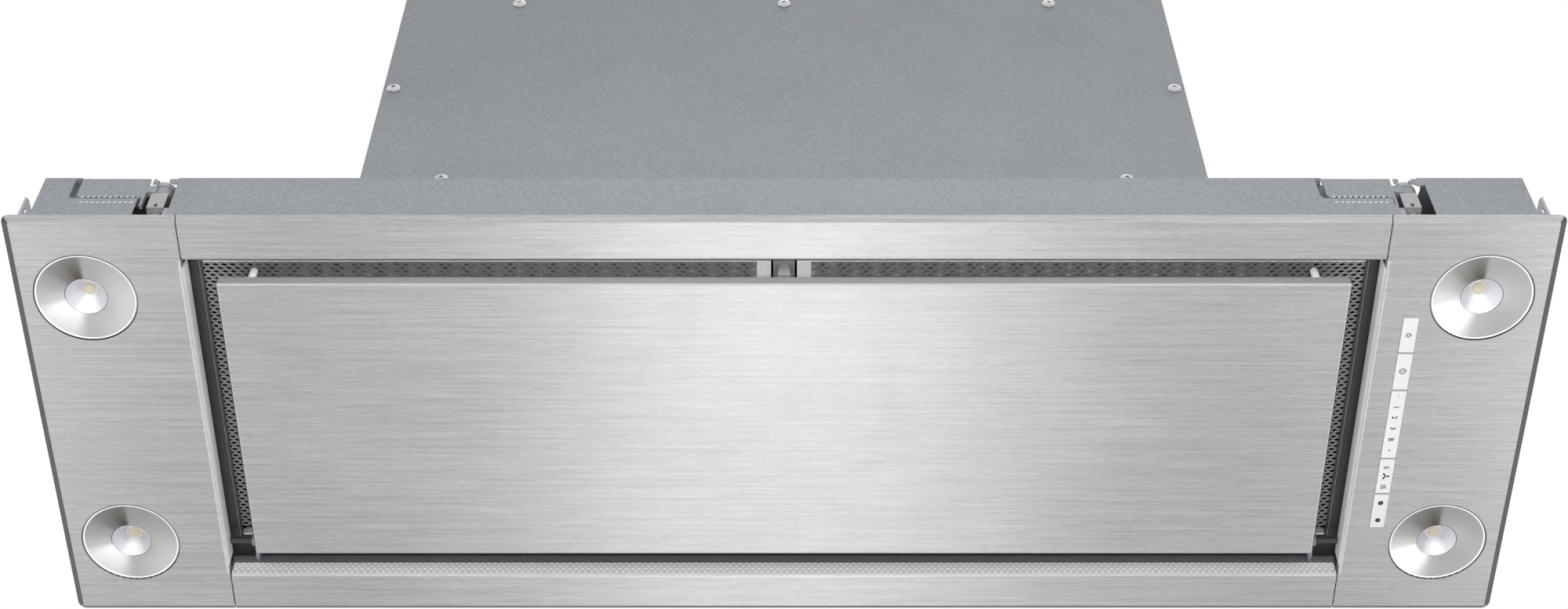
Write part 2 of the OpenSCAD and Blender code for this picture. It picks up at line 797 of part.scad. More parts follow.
module key_body(i, flange_z) {
  y0 = key_y0(i) + key_gap / 2;
  y1 = key_y0(i) + key_l[i] - key_gap / 2;
  half = key_w / 2;
  translate([strip_x, 0, 0]) {
    block([-half, half], [y0, y1], [key_face, flange_z + eps]);
    block([-half - key_flange, half + key_flange], [y0, y1], [flange_z, flange_z + key_flange_t]);
  }
}

module push_key(i) {
  mid = key_y0(i) + key_l[i] / 2;
  color("white") {
    key_body(i, key_flange_z);
    translate([strip_x, mid, key_flange_z]) cylinder(h = plunger_top - key_flange_z, r = 1.5);
  }
}

module light_key() { push_key(0); }
module power_key() { push_key(1); }
module timer_key() { push_key(3); }
module filter_key() { push_key(4); }

module level_rocker() {
  mid = key_y0(2) + key_l[2] / 2;
  pin_x = housing_in + housing_wall - 0.2;
  color("white") {
    key_body(2, rocker_flange_z);
    block([strip_x - 2, strip_x + 2], [mid - 2.5, mid + 2.5], [rocker_flange_z, trunnion_z + 1.4]);
    drill_x(strip_x - pin_x, strip_x + pin_x, mid, trunnion_z, trunnion_r);
    for (end = [-1, 1]) translate([strip_x, mid + end * level_key_l / 3, rocker_flange_z])
      cylinder(h = plunger_top - rocker_flange_z, r = 1.5);
  }
}

module control_housing() {
  y0 = key_start - housing_end;
  y1 = strip_end + housing_end;
  top = board_z + board_t;
  half = housing_in + housing_wall;
  mid = key_y0(2) + key_l[2] / 2;
  color(dark_coat) difference() {
    block([strip_x - half, strip_x + half], [y0, y1], [frame_top, top + housing_wall]);
    block([strip_x - housing_in, strip_x + housing_in], [y0 + housing_wall, y1 - housing_wall],
      [0, top]);
    drill_x(strip_x - half - 1, strip_x + half + 1, mid, trunnion_z, trunnion_r + running);
  }
}

module control_board() {
  y0 = key_start - housing_end + housing_wall + clear;
  y1 = strip_end + housing_end - housing_wall - clear;
  half = housing_in - clear;
  color("darkgreen") {
    block([strip_x - half, strip_x + half], [y0, y1], [board_z, board_z + board_t]);
    for (i = [0:len(key_l) - 1], k = i == 2 ? [-1, 1] : [0])
      translate([strip_x, key_y0(i) + key_l[i] * (0.5 + k / 3), board_z - switch_h])
        cylinder(h = switch_h + eps, r = 2);
  }
}

// Clamps

// Cut through the tray's face in front of a clamp's screw; out is the side away from the middle.
// Its upper edge rises to a vee, open at the top.
module notch_outline() {
  low = frame_top - 1;
  top = tray_top + 1;
  shoulder = tray_top - 5.7;
  foot = tray_top - 3.8;
  nick = 3.1;
  vee = [-3.2, 2.2];
  flare = 4.7;
  polygon([[notch_out, low], [notch_out, shoulder - 1.8], [notch_out - nick, shoulder - 2.3],
    [vee[1], foot], [vee[1] + flare, top], [vee[0], top], [vee[0], foot], [2 * vee[0], shoulder],
    [-notch_in, shoulder], [-notch_in, low]]);
}

// Recess for the arm, from its far end to the notch
module pocket_outline(edge, grow) {
  r = pocket_r + grow;
  x0 = -pocket_end - grow;
  z0 = pocket_z - grow;
  translate([x0, z0 + r]) square([pocket_end + grow - edge, tray_top - z0 - r]);
  translate([x0 + r, z0]) square([pocket_end + grow - edge - r, r + eps]);
  translate([x0 + r, z0 + r]) circle(r);
}

module pocket_sheet(edge) {
  intersection() {
    along_y(-clamp_in, -clamp_in + pocket_depth + tray_sheet) pocket_outline(edge, tray_sheet);
    block([-reach, reach], [-reach, reach], [0, tray_top]);
  }
}

// Room that the pocket's sheet needs in the tray's top plate
module pocket_room(edge) {
  block([-pocket_end - tray_sheet - slit, slit - edge],
    [-clamp_in, -clamp_in + pocket_depth + tray_sheet + slit], [pocket_z, tray_top + 1]);
}

module clamp_cuts(side) {
  edge = swing_edge;
  mirror([side > 0 ? 0 : 1, 0, 0]) along_y(-clamp_in - 1, -clamp_in + tray_sheet + eps)
    notch_outline();
  along_y(-clamp_in - 1, -clamp_in + pocket_depth) {
    intersection() {
      pocket_outline(edge, 0);
      translate([-reach, 0]) square([2 * reach, tray_top - tray_sheet]);
    }
    translate([-arm_l - clear, tray_top - pocket_r]) square([arm_l + clear - edge, pocket_r + 1]);
    translate([-bent_edge - arm_t - 2 * clear, bent_low - clear])
      square([bent_edge + arm_t, bent_top - bent_low]);
  }
  translate([0, 0, tray_top - tray_sheet - eps]) cylinder(h = tray_sheet + 1, r = notch_out - 0.5);
}

module clamp_bracket() {
  half = clamp_plate_w / 2;
  t = 1.2;
  back = clamp_back_y + t;
  puck_z = hub_puck_top - hub_puck_t;
  lug_w = 3.4;
  lug_h = 16;
  key_slit = 3.2;
  color(stainless) difference() {
    union() {
      block([-half, half], [clamp_back_y, back], [frame_top, hub_puck_top]);
      block([-half, half], [-clamp_in + 2, back], [frame_top, frame_top + t]);
      block([-half, half], [-clamp_plate_y, back], [shelf_z - t, shelf_z]);
      block([-half, half], [-clamp_plate_y, -clamp_plate_y + t], [shelf_z - t, plate_top]);
      block([-half, half], [0, back], [puck_z, hub_puck_top]);
      translate([0, 0, puck_z]) cylinder(h = hub_puck_t, r = hub_puck_r);
      block([-half - lug_w, -half + eps], [-clamp_plate_y + 1, -clamp_plate_y + 1 + t],
        [shelf_z - lug_h, shelf_z]);
    }
    translate([0, 0, shelf_z - t - 1]) cylinder(h = tray_top, r = clamp_screw_r + clear);
    translate([0, 0, frame_top - 1]) cylinder(h = t + 2, r = clamp_screw_r + 1.5);
    block([-1, 1], [-clamp_plate_y - 1, -clamp_plate_y + t + 1], [shelf_z, shelf_z + key_slit]);
  }
}

module clamp_screw() {
  head = 3.5;
  rim_w = 1.8;
  socket = 2;
  low = shelf_z - 1.2;
  color(zinc) difference() {
    union() {
      translate([0, 0, low - head]) cylinder(h = head, r = clamp_screw_r + rim_w);
      translate([0, 0, low - eps]) cylinder(h = hub_puck_top - low, r = clamp_screw_r);
    }
    translate([0, 0, low - head - 1]) cylinder(h = socket + 1, r = clamp_screw_r, $fn = 6);
  }
}

// Arm at rest in its pocket, pointing towards -X from the screw at the origin
module clamp_arm() {
  far_x = -arm_l;
  face = -arm_face;
  foot_back = face + pocket_depth - arm_foot_back;
  eye_top = hub_puck_top - hub_puck_t - 2 * clear;
  bent_w = 2.8;
  web_w = 3.8;
  first_gap = arm_corner + 0.6;
  gap_h = 1.4;
  bite = 0.7;
  teeth = floor((arm_l - bent_edge - arm_t - first_gap) / tooth_pitch);
  color(zinc) difference() {
    union() {
      along_y(face, face + arm_t) {
        translate([far_x, arm_z + arm_corner]) square([arm_l - bent_edge, arm_top - arm_z - arm_corner]);
        translate([far_x + arm_corner, arm_z]) square([arm_l - bent_edge - arm_corner, arm_corner + eps]);
        translate([far_x + arm_corner, arm_z + arm_corner]) circle(arm_corner);
      }
      block([far_x + arm_corner, -bent_edge - arm_t], [face, foot_back], [arm_z, arm_z + arm_t]);
      block([-bent_edge - arm_t, -bent_edge], [face, face + bent_w], [bent_low, bent_top]);
      block([-bent_edge - arm_t, -clamp_screw_r], [face, face + web_w], [arm_eye_z, eye_top]);
      translate([0, 0, arm_eye_z]) cylinder(h = eye_top - arm_eye_z, r = arm_eye_r);
    }
    for (i = [0:teeth - 1])
      translate([far_x + first_gap + i * tooth_pitch, face - 1, arm_z - 1])
        cube([tooth_pitch / 2, arm_t + bite, gap_h + 1]);
    translate([0, 0, arm_eye_z - 1]) cylinder(h = eye_top - arm_eye_z + 2, r = clamp_screw_r + running);
  }
}

module clamp_brackets() {
  for (side = [-1, 1], end = [-1, 1])
    at_clamp(side, end) mirror([end * side < 0 ? 0 : 1, 0, 0]) clamp_bracket();
}

module clamp_screws() {
  for (side = [-1, 1], end = [-1, 1]) at_clamp(side, end) clamp_screw();
}

module clamp_arm_front_left() { at_clamp(-1, -1) clamp_arm(); }
module clamp_arm_front_right() { at_clamp(1, -1) clamp_arm(); }
module clamp_arm_rear_left() { at_clamp(-1, 1) clamp_arm(); }
module clamp_arm_rear_right() { at_clamp(1, 1) clamp_arm(); }

// Casing

// Tab at the right end of the tray's front wall, with its slot
module side_tab() {
  x0 = tray_w / 2;
  nick = 3.3;
  slope_w = 2.8;
  root_h = 14;
  slot = [1.3, 5.3];
  slot_in = 2.9;
  along_y(-tray_d / 2, -tray_d / 2 + tray_sheet) difference() {
    polygon([[x0 - eps, frame_top], [x0 + side_tab, frame_top], [x0 + side_tab, side_tab_z],
      [x0 + side_tab - slope_w, side_tab_z - nick], [x0 - eps, side_tab_z - root_h]]);
    translate([x0 + slot_in, side_tab_z / 2 + slot[0] * 2]) square(slot);
  }
}

// Front and rear walls with the clamps' pockets and the side tabs, cut for the clamps
module tray_faces() {
  difference() {
    union() {
      for (turn = [0, 180]) rotate([0, 0, turn]) {
        block([-tray_w / 2, tray_w / 2], [-tray_d / 2, -tray_d / 2 + tray_sheet], [frame_top, tray_top]);
        for (side = [0, 1]) mirror([side, 0, 0]) side_tab();
      }
      for (end = [-1, 1], side = [-1, 1]) at_clamp(side, end)
        pocket_sheet(-end * side > 0 ? notch_in : notch_out);
    }
    for (end = [-1, 1], side = [-1, 1]) at_clamp(side, end) clamp_cuts(-end * side);
  }
}

// The tray's sheets meet at its edges with a slit between them
module tray() {
  in_x = tray_w / 2 - tray_sheet;
  in_y = tray_d / 2 - tray_sheet - slit;
  color(zinc) {
    tray_faces();
    for (turn = [0, 180]) rotate([0, 0, turn])
      block([in_x, tray_w / 2], [-in_y, in_y], [frame_top, tray_top]);
    difference() {
      block([-in_x + slit, in_x - slit], [-in_y, in_y], [tray_top - tray_sheet, tray_top]);
      block([-box_open_x, box_open_x], [-box_open_y, box_open_y], [0, tray_top + 1]);
      for (end = [-1, 1], side = [-1, 1]) at_clamp(side, end) {
        clamp_cuts(-end * side);
        pocket_room(-end * side > 0 ? notch_in : notch_out);
      }
    }
  }
}

// Two end walls, a rear wall, a top, a frame behind the cover and a flange at the foot
module fan_box() {
  half_w = fan_box_w / 2;
  half_d = fan_box_d / 2;
  t = fan_box_sheet;
  in_x = half_w - t - slit;
  front = -half_d + t;
  back = half_d - t - slit;
  color(zinc) {
    for (side = [0, 1]) mirror([side, 0, 0])
      block([half_w - t, half_w], [front, half_d], [tray_top, fan_box_top]);
    block([-in_x, in_x], [half_d - t, half_d], [tray_top, fan_box_top]);
    difference() {
      block([-in_x, in_x], [front + t + slit, back], [fan_box_top - t, fan_box_top]);
      translate([0, collar_y, fan_box_top - t - 1]) cylinder(h = t + 2, r = collar_r - collar_wall);
    }
    difference() {
      block([-in_x, in_x], [front + t + slit, back], [tray_top, tray_top + t]);
      block([-box_open_x, box_open_x], [-box_open_y, box_open_y], [tray_top - 1, tray_top + t + 1]);
    }
    difference() {
      block([-in_x, in_x], [front, front + t], [tray_top, fan_box_top]);
      block([-box_open_x, box_open_x], [front - 1, front + t + 1],
        [tray_top + fan_foot, fan_box_top - fan_flange]);
      cover_screw_holes();
    }
  }
}

module at_cover_screws() {
  for (x = [-screw_row, 0, screw_row]) translate([x, cover_y, screw_z]) children();
  for (side = [-1, 1]) {
    translate([side * screw_side_x, cover_y, screw_side_z]) children();
    translate([side * screw_foot_x, cover_y, screw_foot_z]) children();
  }
}

module cover_screw_holes() {
  at_cover_screws() rotate([-90, 0, 0]) translate([0, 0, -1])
    cylinder(h = 2 * fan_box_sheet + 2, r = screw_r + clear);
}

module fan_box_cover() {
  half_w = fan_box_w / 2;
  color(zinc) difference() {
    block([-half_w, half_w], [cover_y, cover_y + fan_box_sheet], [tray_top, fan_box_top]);
    cover_screw_holes();
  }
}

module cover_screws() {
  color(aluminium) at_cover_screws() rotate([-90, 0, 0]) {
    translate([0, 0, -screw_rim]) cylinder(h = screw_rim, r = screw_head_r);
    translate([0, 0, -screw_rim - screw_dome])
      cylinder(h = screw_dome + eps, r1 = screw_head_r - screw_dome, r2 = screw_head_r);
    translate([0, 0, -eps]) cylinder(h = screw_l, r = screw_r);
  }
}

// Angles that hold the fan box on the tray
module corner_brackets() {
  leg = 15;
  t = 1.5;
  length = 30;
  place = box_open_y - length;
  x0 = fan_box_w / 2;
  color(zinc) for (side = [-1, 1], end = [-1, 1])
    mirror([side > 0 ? 0 : 1, 0, 0]) along_y(end * place - length / 2, end * place + length / 2)
      polygon([[x0, tray_top], [x0 + leg, tray_top], [x0 + leg, tray_top + t], [x0 + t, tray_top + t],
        [x0 + t, tray_top + leg], [x0, tray_top + leg]]);
}

// Blower

// Spiral round the impeller, with its outlet running up to the box's top
function spiral_r(a) = scroll_r + scroll_growth * (a - tongue) / (360 - tongue);

module scroll_outline(grow) {
  top = scroll_top;
  spiral = [for (a = [tongue:10:360]) [axis_y + (spiral_r(a) + grow) * cos(a),
    axis_z + (spiral_r(a) + grow) * sin(a)]];
  outlet = [[axis_y + spiral_r(360) + grow, top], [collar_y - collar_r - grow, top]];
  polygon(concat(spiral, outlet));
}

module scroll_half() {
  half = scroll_w / 2;
  lip_l = 5;
  color("#55585b") difference() {
    union() {
      along_x(0, half) scroll_outline(scroll_wall);
      intersection() {
        along_x(0, scroll_wall) scroll_outline(scroll_wall + seam_rib);
        block([-reach, reach], [-reach, fan_box_d / 2 - fan_box_sheet - 0.5], [0, scroll_top]);
      }
    }
    difference() {
      along_x(-1, half - scroll_wall) scroll_outline(0);
      drill_x(half - scroll_wall - lip_l, half, axis_y, axis_z, inlet_r + 1.5);
    }
    block([-1, half - scroll_wall], [collar_y - collar_r, axis_y + spiral_r(360)],
      [scroll_top - 1, scroll_top + 1]);
    drill_x(0, half + 1, axis_y, axis_z, inlet_r);
    difference() {
      block([half - scroll_wall - slit, half - scroll_wall], [-reach, reach], [0, reach]);
      drill_x(0, half, axis_y, axis_z, scroll_r - scroll_gap);
    }
  }
}

module scroll_right() { scroll_half(); }
module scroll_left() { mirror([1, 0, 0]) scroll_half(); }

module motor_bracket() {
  x0 = scroll_w / 2;
  color(zinc) difference() {
    drill_x(x0, x0 + bracket_t, axis_y, axis_z, inlet_r + 8);
    difference() {
      drill_x(x0 - 1, x0 + bracket_t + 1, axis_y, axis_z, inlet_r);
      drill_x(x0 - 2, x0 + bracket_t + 2, axis_y, axis_z, motor_r / 2);
      for (turn = [90, 210, 330]) translate([x0 - 2, axis_y, axis_z]) rotate([turn, 0, 0])
        translate([0, -5, 0]) cube([bracket_t + 4, 10, inlet_r + 4]);
    }
    drill_x(x0 - 1, x0 + bracket_t + 1, axis_y, axis_z, shaft_r + 1);
  }
}

module motor() {
  x0 = hub_l / 2 + disc_t / 2 + motor_gap;
  x1 = scroll_w / 2 - motor_boss;
  color("#2f3032") difference() {
    union() {
      drill_x(x0 + 3, x1, axis_y, axis_z, motor_r);
      drill_x(x0, x0 + 3 + eps, axis_y, axis_z, motor_r - 3);
      drill_x(x1 - eps, x1 + motor_boss, axis_y, axis_z, motor_r / 2 - 4);
    }
    drill_x(x0 - 1, x1 + motor_boss + 1, axis_y, axis_z, shaft_r + running);
  }
}

// Forward-curved blade from its inner to its outer edge
module blade() {
  r0 = impeller_r - blade_d + 0.4;
  r1 = impeller_r - 0.4;
  sweep = 9;
  side = function(s, k) let(r = r0 + s * (r1 - r0), a = sweep * s * s + k * blade_t / r * 90 / PI)
    [r * cos(a), r * sin(a)];
  polygon(concat([for (s = [0:0.25:1]) side(s, -1)], [for (s = [1:-0.25:0]) side(s, 1)]));
}

// Blades crimped between two end rings, with a disc and hub in their middle
module impeller() {
  half = impeller_w / 2;
  inner = impeller_r - blade_d;
  blade_l = impeller_w - 2 * ring_t - 2 * slit;
  color("#46494c") translate([0, axis_y, axis_z]) rotate([0, 90, 0]) {
    translate([0, 0, -blade_l / 2]) linear_extrude(blade_l)
      for (i = [0:blade_n - 1]) rotate([0, 0, i * 360 / blade_n]) blade();
    for (z = [-half, half - ring_t]) translate([0, 0, z]) linear_extrude(ring_t) difference() {
      circle(impeller_r);
      circle(inner);
    }
    difference() {
      union() {
        translate([0, 0, -disc_t / 2]) cylinder(h = disc_t, r = inner);
        translate([0, 0, -hub_l / 2 - disc_t / 2]) cylinder(h = hub_l + disc_t, r = hub_r);
      }
      translate([0, 0, -hub_l]) cylinder(h = 2 * hub_l, r = shaft_r + press);
    }
  }
}

module impeller_shaft() {
  color(aluminium) drill_x(-hub_l / 2 - disc_t / 2 - 2, scroll_w / 2 - 8, axis_y, axis_z, shaft_r);
}

// Duct

module duct_collar() {
  inner = collar_r - collar_wall;
  top = fan_box_top + collar_h;
  ledge = flap_z - clear;
  color(grey_plastic) translate([0, collar_y, 0]) difference() {
    rotate_extrude() {
      translate([inner, fan_box_top]) square([collar_wall, collar_h]);
      translate([inner, fan_box_top]) square([collar_wall + 10, 1.6]);
      translate([inner - ledge_w, ledge - 1.6]) square([ledge_w + eps, 1.6]);
    }
    drill_x(-collar_r - 1, collar_r + 1, 0, damper_z, damper_pin_r + running);
  }
}

module damper_pin() {
  color(aluminium) drill_x(-collar_r + 0.5, collar_r - 0.5, collar_y, damper_z, damper_pin_r);
}

// Half disc with its knuckles on the pin; the front flap has the outer and middle ones
module damper_flap(knuckles) {
  edge = knuckle_r + 0.5;
  color("#8a8d90") difference() {
    union() {
      translate([0, 0, flap_z]) linear_extrude(flap_t) intersection() {
        circle(flap_r);
        translate([-flap_r, edge]) square([2 * flap_r, flap_r]);
      }
      for (k = knuckles) {
        x0 = (k - 0.5) * knuckle_w + knuckle_gap / 2;
        x1 = (k + 0.5) * knuckle_w - knuckle_gap / 2;
        block([x0, x1], [0, edge + 1], [flap_z, flap_z + flap_t]);
        drill_x(x0, x1, 0, damper_z, knuckle_r);
      }
    }
    drill_x(-collar_r, collar_r, 0, damper_z, damper_pin_r + running);
  }
}

module damper_flap_rear() { translate([0, collar_y, 0]) damper_flap([-1, 1]); }
module damper_flap_front() {
  translate([0, collar_y, 0]) mirror([0, 1, 0]) damper_flap([-2, 0, 2]);
}

// Electrics

module at_box() { translate([box_x, box_y, tray_top]) children(); }

module control_box() {
  half_l = box_l / 2;
  half_d = box_d / 2;
  color("#d9dad6") at_box() difference() {
    block([-half_l, half_l], [-half_d, half_d], [0, box_h - box_wall]);
    block([-half_l + box_wall, half_l - box_wall], [-half_d + box_wall, half_d - box_wall],
      [box_wall, box_h]);
    drill_x(-half_l - 1, -half_l + box_wall + 1, 0, box_h / 2, gland_r);
  }
}

module control_box_lid() {
  half_l = box_l / 2;
  half_d = box_d / 2;
  fit = box_wall + clear;
  color("#d9dad6") at_box() {
    block([-half_l, half_l], [-half_d, half_d], [box_h - box_wall, box_h]);
    difference() {
      block([-half_l + fit, half_l - fit], [-half_d + fit, half_d - fit],
        [box_h - 2 * box_wall, box_h - box_wall + eps]);
      block([-half_l + fit + 2, half_l - fit - 2], [-half_d + fit + 2, half_d - fit - 2],
        [0, box_h - box_wall]);
    }
  }
}

module power_board() {
  inset = box_wall + 6;
  rise = box_wall + 5;
  board = 1.6;
  post_r = 2.5;
  left = -box_l / 2 + 2 * inset;
  right = box_l / 2 - inset;
  half_d = box_d / 2 - inset;
  color("darkgreen") at_box() {
    block([left, right], [-half_d, half_d], [rise, rise + board]);
    for (x = [left + 2 * post_r, right - 2 * post_r], j = [-1, 1])
      translate([x, j * (half_d - 2 * post_r), box_wall]) cylinder(h = rise - box_wall + eps, r = post_r);
    block([-box_l / 6, box_l / 10], [-box_d / 4, box_d / 12], [rise + board - eps, box_h * 0.62]);
    translate([box_l / 4, box_d / 5, rise + board - eps]) cylinder(h = box_h / 2, r = box_d / 11);
  }
}

module cable_gland() {
  nut_l = 8;
  wall_x = box_x - box_l / 2;
  z = tray_top + box_h / 2;
  color(grey_plastic) difference() {
    union() {
      drill_x(wall_x - gland_l, wall_x - nut_l, box_y, z, gland_r + 1);
      translate([wall_x - nut_l - eps, box_y, z]) rotate([0, 90, 0])
        cylinder(h = nut_l + eps, r = gland_nut_r, $fn = 6);
      drill_x(wall_x - 1, wall_x + box_wall + nut_l, box_y, z, gland_r - running);
    }
    drill_x(wall_x - gland_l - 1, wall_x + box_wall + nut_l + 1, box_y, z, gland_bore_r);
  }
}

side_panel_left();
side_panel_right();
front_strip();
rear_strip();
mounting_frame();
tray();
corner_brackets();
filter_carrier();
centre_bracket();
filter_frame_left();
filter_frame_right();
filter_mesh_left();
filter_mesh_right();
filter_latch_left();
filter_latch_right();
hinge_brackets();
hinge_pins();
baffle_skin();
baffle_liner();
baffle_studs();
catch_clip();
lamp_reflector_front_left();
lamp_reflector_front_right();
lamp_reflector_rear_left();
lamp_reflector_rear_right();
lamp_cone_front_left();
lamp_cone_front_right();
lamp_cone_rear_left();
lamp_cone_rear_right();
led_modules();
light_key();
power_key();
level_rocker();
timer_key();
filter_key();
control_housing();
control_board();
fan_box();
fan_box_cover();
cover_screws();
scroll_left();
scroll_right();
motor_bracket();
motor();
impeller();
impeller_shaft();
duct_collar();
damper_pin();
damper_flap_front();
damper_flap_rear();
clamp_brackets();
clamp_screws();
clamp_arm_front_left();
clamp_arm_front_right();
clamp_arm_rear_left();
clamp_arm_rear_right();
control_box();
control_box_lid();
power_board();
cable_gland();
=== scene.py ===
import json
import math

import bmesh
import bpy
from mathutils import Matrix, Vector


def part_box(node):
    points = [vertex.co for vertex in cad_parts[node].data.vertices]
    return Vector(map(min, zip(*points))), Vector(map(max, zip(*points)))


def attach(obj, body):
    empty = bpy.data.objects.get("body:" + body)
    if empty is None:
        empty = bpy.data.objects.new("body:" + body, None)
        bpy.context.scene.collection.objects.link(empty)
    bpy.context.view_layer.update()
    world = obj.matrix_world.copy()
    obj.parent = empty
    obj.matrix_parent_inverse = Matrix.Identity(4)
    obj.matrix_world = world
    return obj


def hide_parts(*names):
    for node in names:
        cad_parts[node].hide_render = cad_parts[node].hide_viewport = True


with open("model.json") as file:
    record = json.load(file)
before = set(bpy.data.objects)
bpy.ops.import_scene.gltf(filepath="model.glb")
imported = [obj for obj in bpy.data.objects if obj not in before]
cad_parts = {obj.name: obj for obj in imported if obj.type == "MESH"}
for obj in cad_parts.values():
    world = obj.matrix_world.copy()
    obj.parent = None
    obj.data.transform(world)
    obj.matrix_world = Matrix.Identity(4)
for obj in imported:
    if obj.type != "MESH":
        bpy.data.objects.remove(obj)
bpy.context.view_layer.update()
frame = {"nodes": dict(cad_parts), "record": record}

bl_info = {
    "name": "Range hood dressing",
    "version": (1, 0, 0),
    "blender": (4, 5, 0),
    "location": "View3D > Sidebar > Hood",
    "description": "Finishes, lamps, grease filters, key signs and screws of a built-in range hood",
    "category": "Object",
}

MM = 0.001
LAMPS = ["front_left", "front_right", "rear_left", "rear_right"]
SIDES = ["left", "right"]
SPIN_UV = "spin"


# Values that a user would change


def kind_of_property(kind, **settings):
    """A function that declares a property of that kind from its name, description and default."""
    def declare(name, description, default):
        return getattr(bpy.props, kind)(name=name, description=description, default=default, **settings)
    return declare


colour = kind_of_property("FloatVectorProperty", subtype="COLOR", size=3, min=0.0, max=1.0)
distance = kind_of_property("FloatProperty", unit="LENGTH", subtype="DISTANCE")
angle = kind_of_property("FloatProperty", unit="ROTATION", subtype="ANGLE")
focal_length = kind_of_property("FloatProperty", unit="CAMERA")
share = kind_of_property("FloatProperty", subtype="FACTOR", min=0.0, max=1.0)
number = kind_of_property("FloatProperty")
whole = kind_of_property("IntProperty")


def length(name, description, millimetres):
    return distance(name, description, millimetres * MM)


class HoodFinish(bpy.types.PropertyGroup):
    stainless: colour("Stainless", "Brushed panel, strips and baffle", (0.62, 0.627, 0.64))
    # Painted light: the upright walls are the same steel as the sheet, and this paler colour stands in for
    # the light they catch
    wall: colour("Walls", "Upright walls of the panel and the baffle", (0.93, 0.935, 0.94))
    zinc: colour("Zinc", "Zinc-coated sheet of the tray and the fan box", (0.325, 0.34, 0.362))
    # Near-black of the rails round the filters; it also paints shade on the hinge pins and between the clamp
    # teeth
    dark_coat: colour("Dark coat", "Coated rails round the filters", (0.04, 0.04, 0.043))
    bright_steel: colour("Bright steel", "Screws, pins and rivets", (0.60, 0.605, 0.61))
    dull_steel: colour("Dull steel", "Clamp brackets and the centre bracket", (0.42, 0.425, 0.43))
    aluminium: colour("Aluminium", "Filter frames and heat sinks", (0.84, 0.845, 0.85))
    mesh: colour("Mesh", "Strands of the expanded metal", (0.42, 0.425, 0.43))
    # Painted shade: the pack's layers are painted nearly black in place of the shade between them
    mesh_pack: colour("Mesh pack", "Folded layers behind the expanded metal", (0.03, 0.03, 0.032))
    dish: colour("Dish", "Satin dish of a lamp", (1.0, 0.99, 0.98))
    funnel: colour("Funnel", "Milky funnel of a lamp", (0.97, 0.965, 1.0))
    light_source: colour("Light source", "Phosphor of the LED", (0.62, 0.56, 0.44))
    key: colour("Keys", "White keys", (0.66, 0.67, 0.68))
    sign: colour("Signs", "Print on the keys", (0.035, 0.037, 0.04))
    pale_sign: colour("Pale signs", "Plus and minus", (0.30, 0.31, 0.32))
    dark_plastic: colour("Dark plastic", "Scroll casing and control housing", (0.045, 0.047, 0.05))
    grey_plastic: colour("Grey plastic", "Duct collar, damper flaps and gland", (0.17, 0.175, 0.18))
    box_plastic: colour("Box plastic", "Control box", (0.62, 0.62, 0.60))
    board: colour("Board", "Circuit boards", (0.015, 0.09, 0.04))
    grain_length: length("Grain length", "Length of the brushed lines", 38)
    grain_width: length("Grain width", "Width of the brushed lines", 0.65)
    grain_depth: share("Grain contrast", "How far the brushed lines change the colour", 0.27)
    speckle: length("Speckle", "Size of the grains in the zinc coat", 0.85)


class HoodLamp(bpy.types.PropertyGroup):
    rim_r: length("Rim radius", "Outer radius of a dish's rim", 29.1)
    mouth_r: length("Mouth radius", "Radius of the dish's inner edge", 12.2)
    depth: length("Dish depth", "Height of the dish at the funnel", 1.6)
    wall_top: length("Wall top", "Top of the dish's outer wall", 12.4)
    source_r: length("Source radius", "Radius of the light source", 4.2)
    funnel_top: length("Funnel top", "Height of the funnel's top", 10.0)
    turned: number("Turned rings", "Number of turned rings from the middle to the rim", 52.0)


class HoodFilter(bpy.types.PropertyGroup):
    pitch_x: length("Cell width", "Width of a cell of the expanded metal", 5.0)
    pitch_y: length("Cell depth", "Two rows of the expanded metal", 4.84)
    strand: length("Strand", "Width of a strand", 1.8)
    slant: length("Slant", "Sideways run of a strand between two bonds", 0.6)
    lip: length("Lip", "Width of the dark lip beside the expanded metal", 2.0)
    wave: length("Wave", "How far a strand swings to each side", 0.41)
    tilt: length("Tilt", "Rise across a strand", 0.5)
    seat: length("Seat", "Width of the window's ledge under a filter", 4.0)
    fold: length("Fold", "Pitch of the folded pack", 12.0)


class HoodSigns(bpy.types.PropertyGroup):
    cap: length("Figure height", "Height of the figures", 3.1)
    line: length("Line", "Width of the thin lines", 0.55)
    dot_r: length("Dot radius", "Radius of the two dots", 1.65)
    # The soft line at a key's ends is painted shade of the gap round the key
    edge: length("Edge line", "Width of the soft line at a key's ends", 0.5)


class HoodScrew(bpy.types.PropertyGroup):
    head_r: length("Head radius", "Radius of a cover screw's head", 4.5)
    head_h: length("Head height", "Height of a cover screw's head", 2.2)
    cross: length("Recess", "Length of the cross recess", 4.4)


class HoodClamp(bpy.types.PropertyGroup):
    reach: length("Reach", "Distance of the first tooth from an arm's hub end", 50.6)
    edge: length("Arm's edge", "Height of the teeth over the bottom of the hub", 8.9)
    # The row on the tray is drawn as thin bright bars
    press: length("Pressed row", "Height of the row on the tray over the bottom of the hub", 2.6)
    pitch: length("Pitch", "Pitch of the teeth", 3.2)
    # A tooth's bright face is a painted highlight: a thin bright bar on the tooth
    long: length("Tooth length", "Length of a tooth's bright face", 2.2)
    high: length("Tooth height", "Height of a tooth's bright face", 0.9)
    count: whole("Teeth", "Teeth in a row", 10)


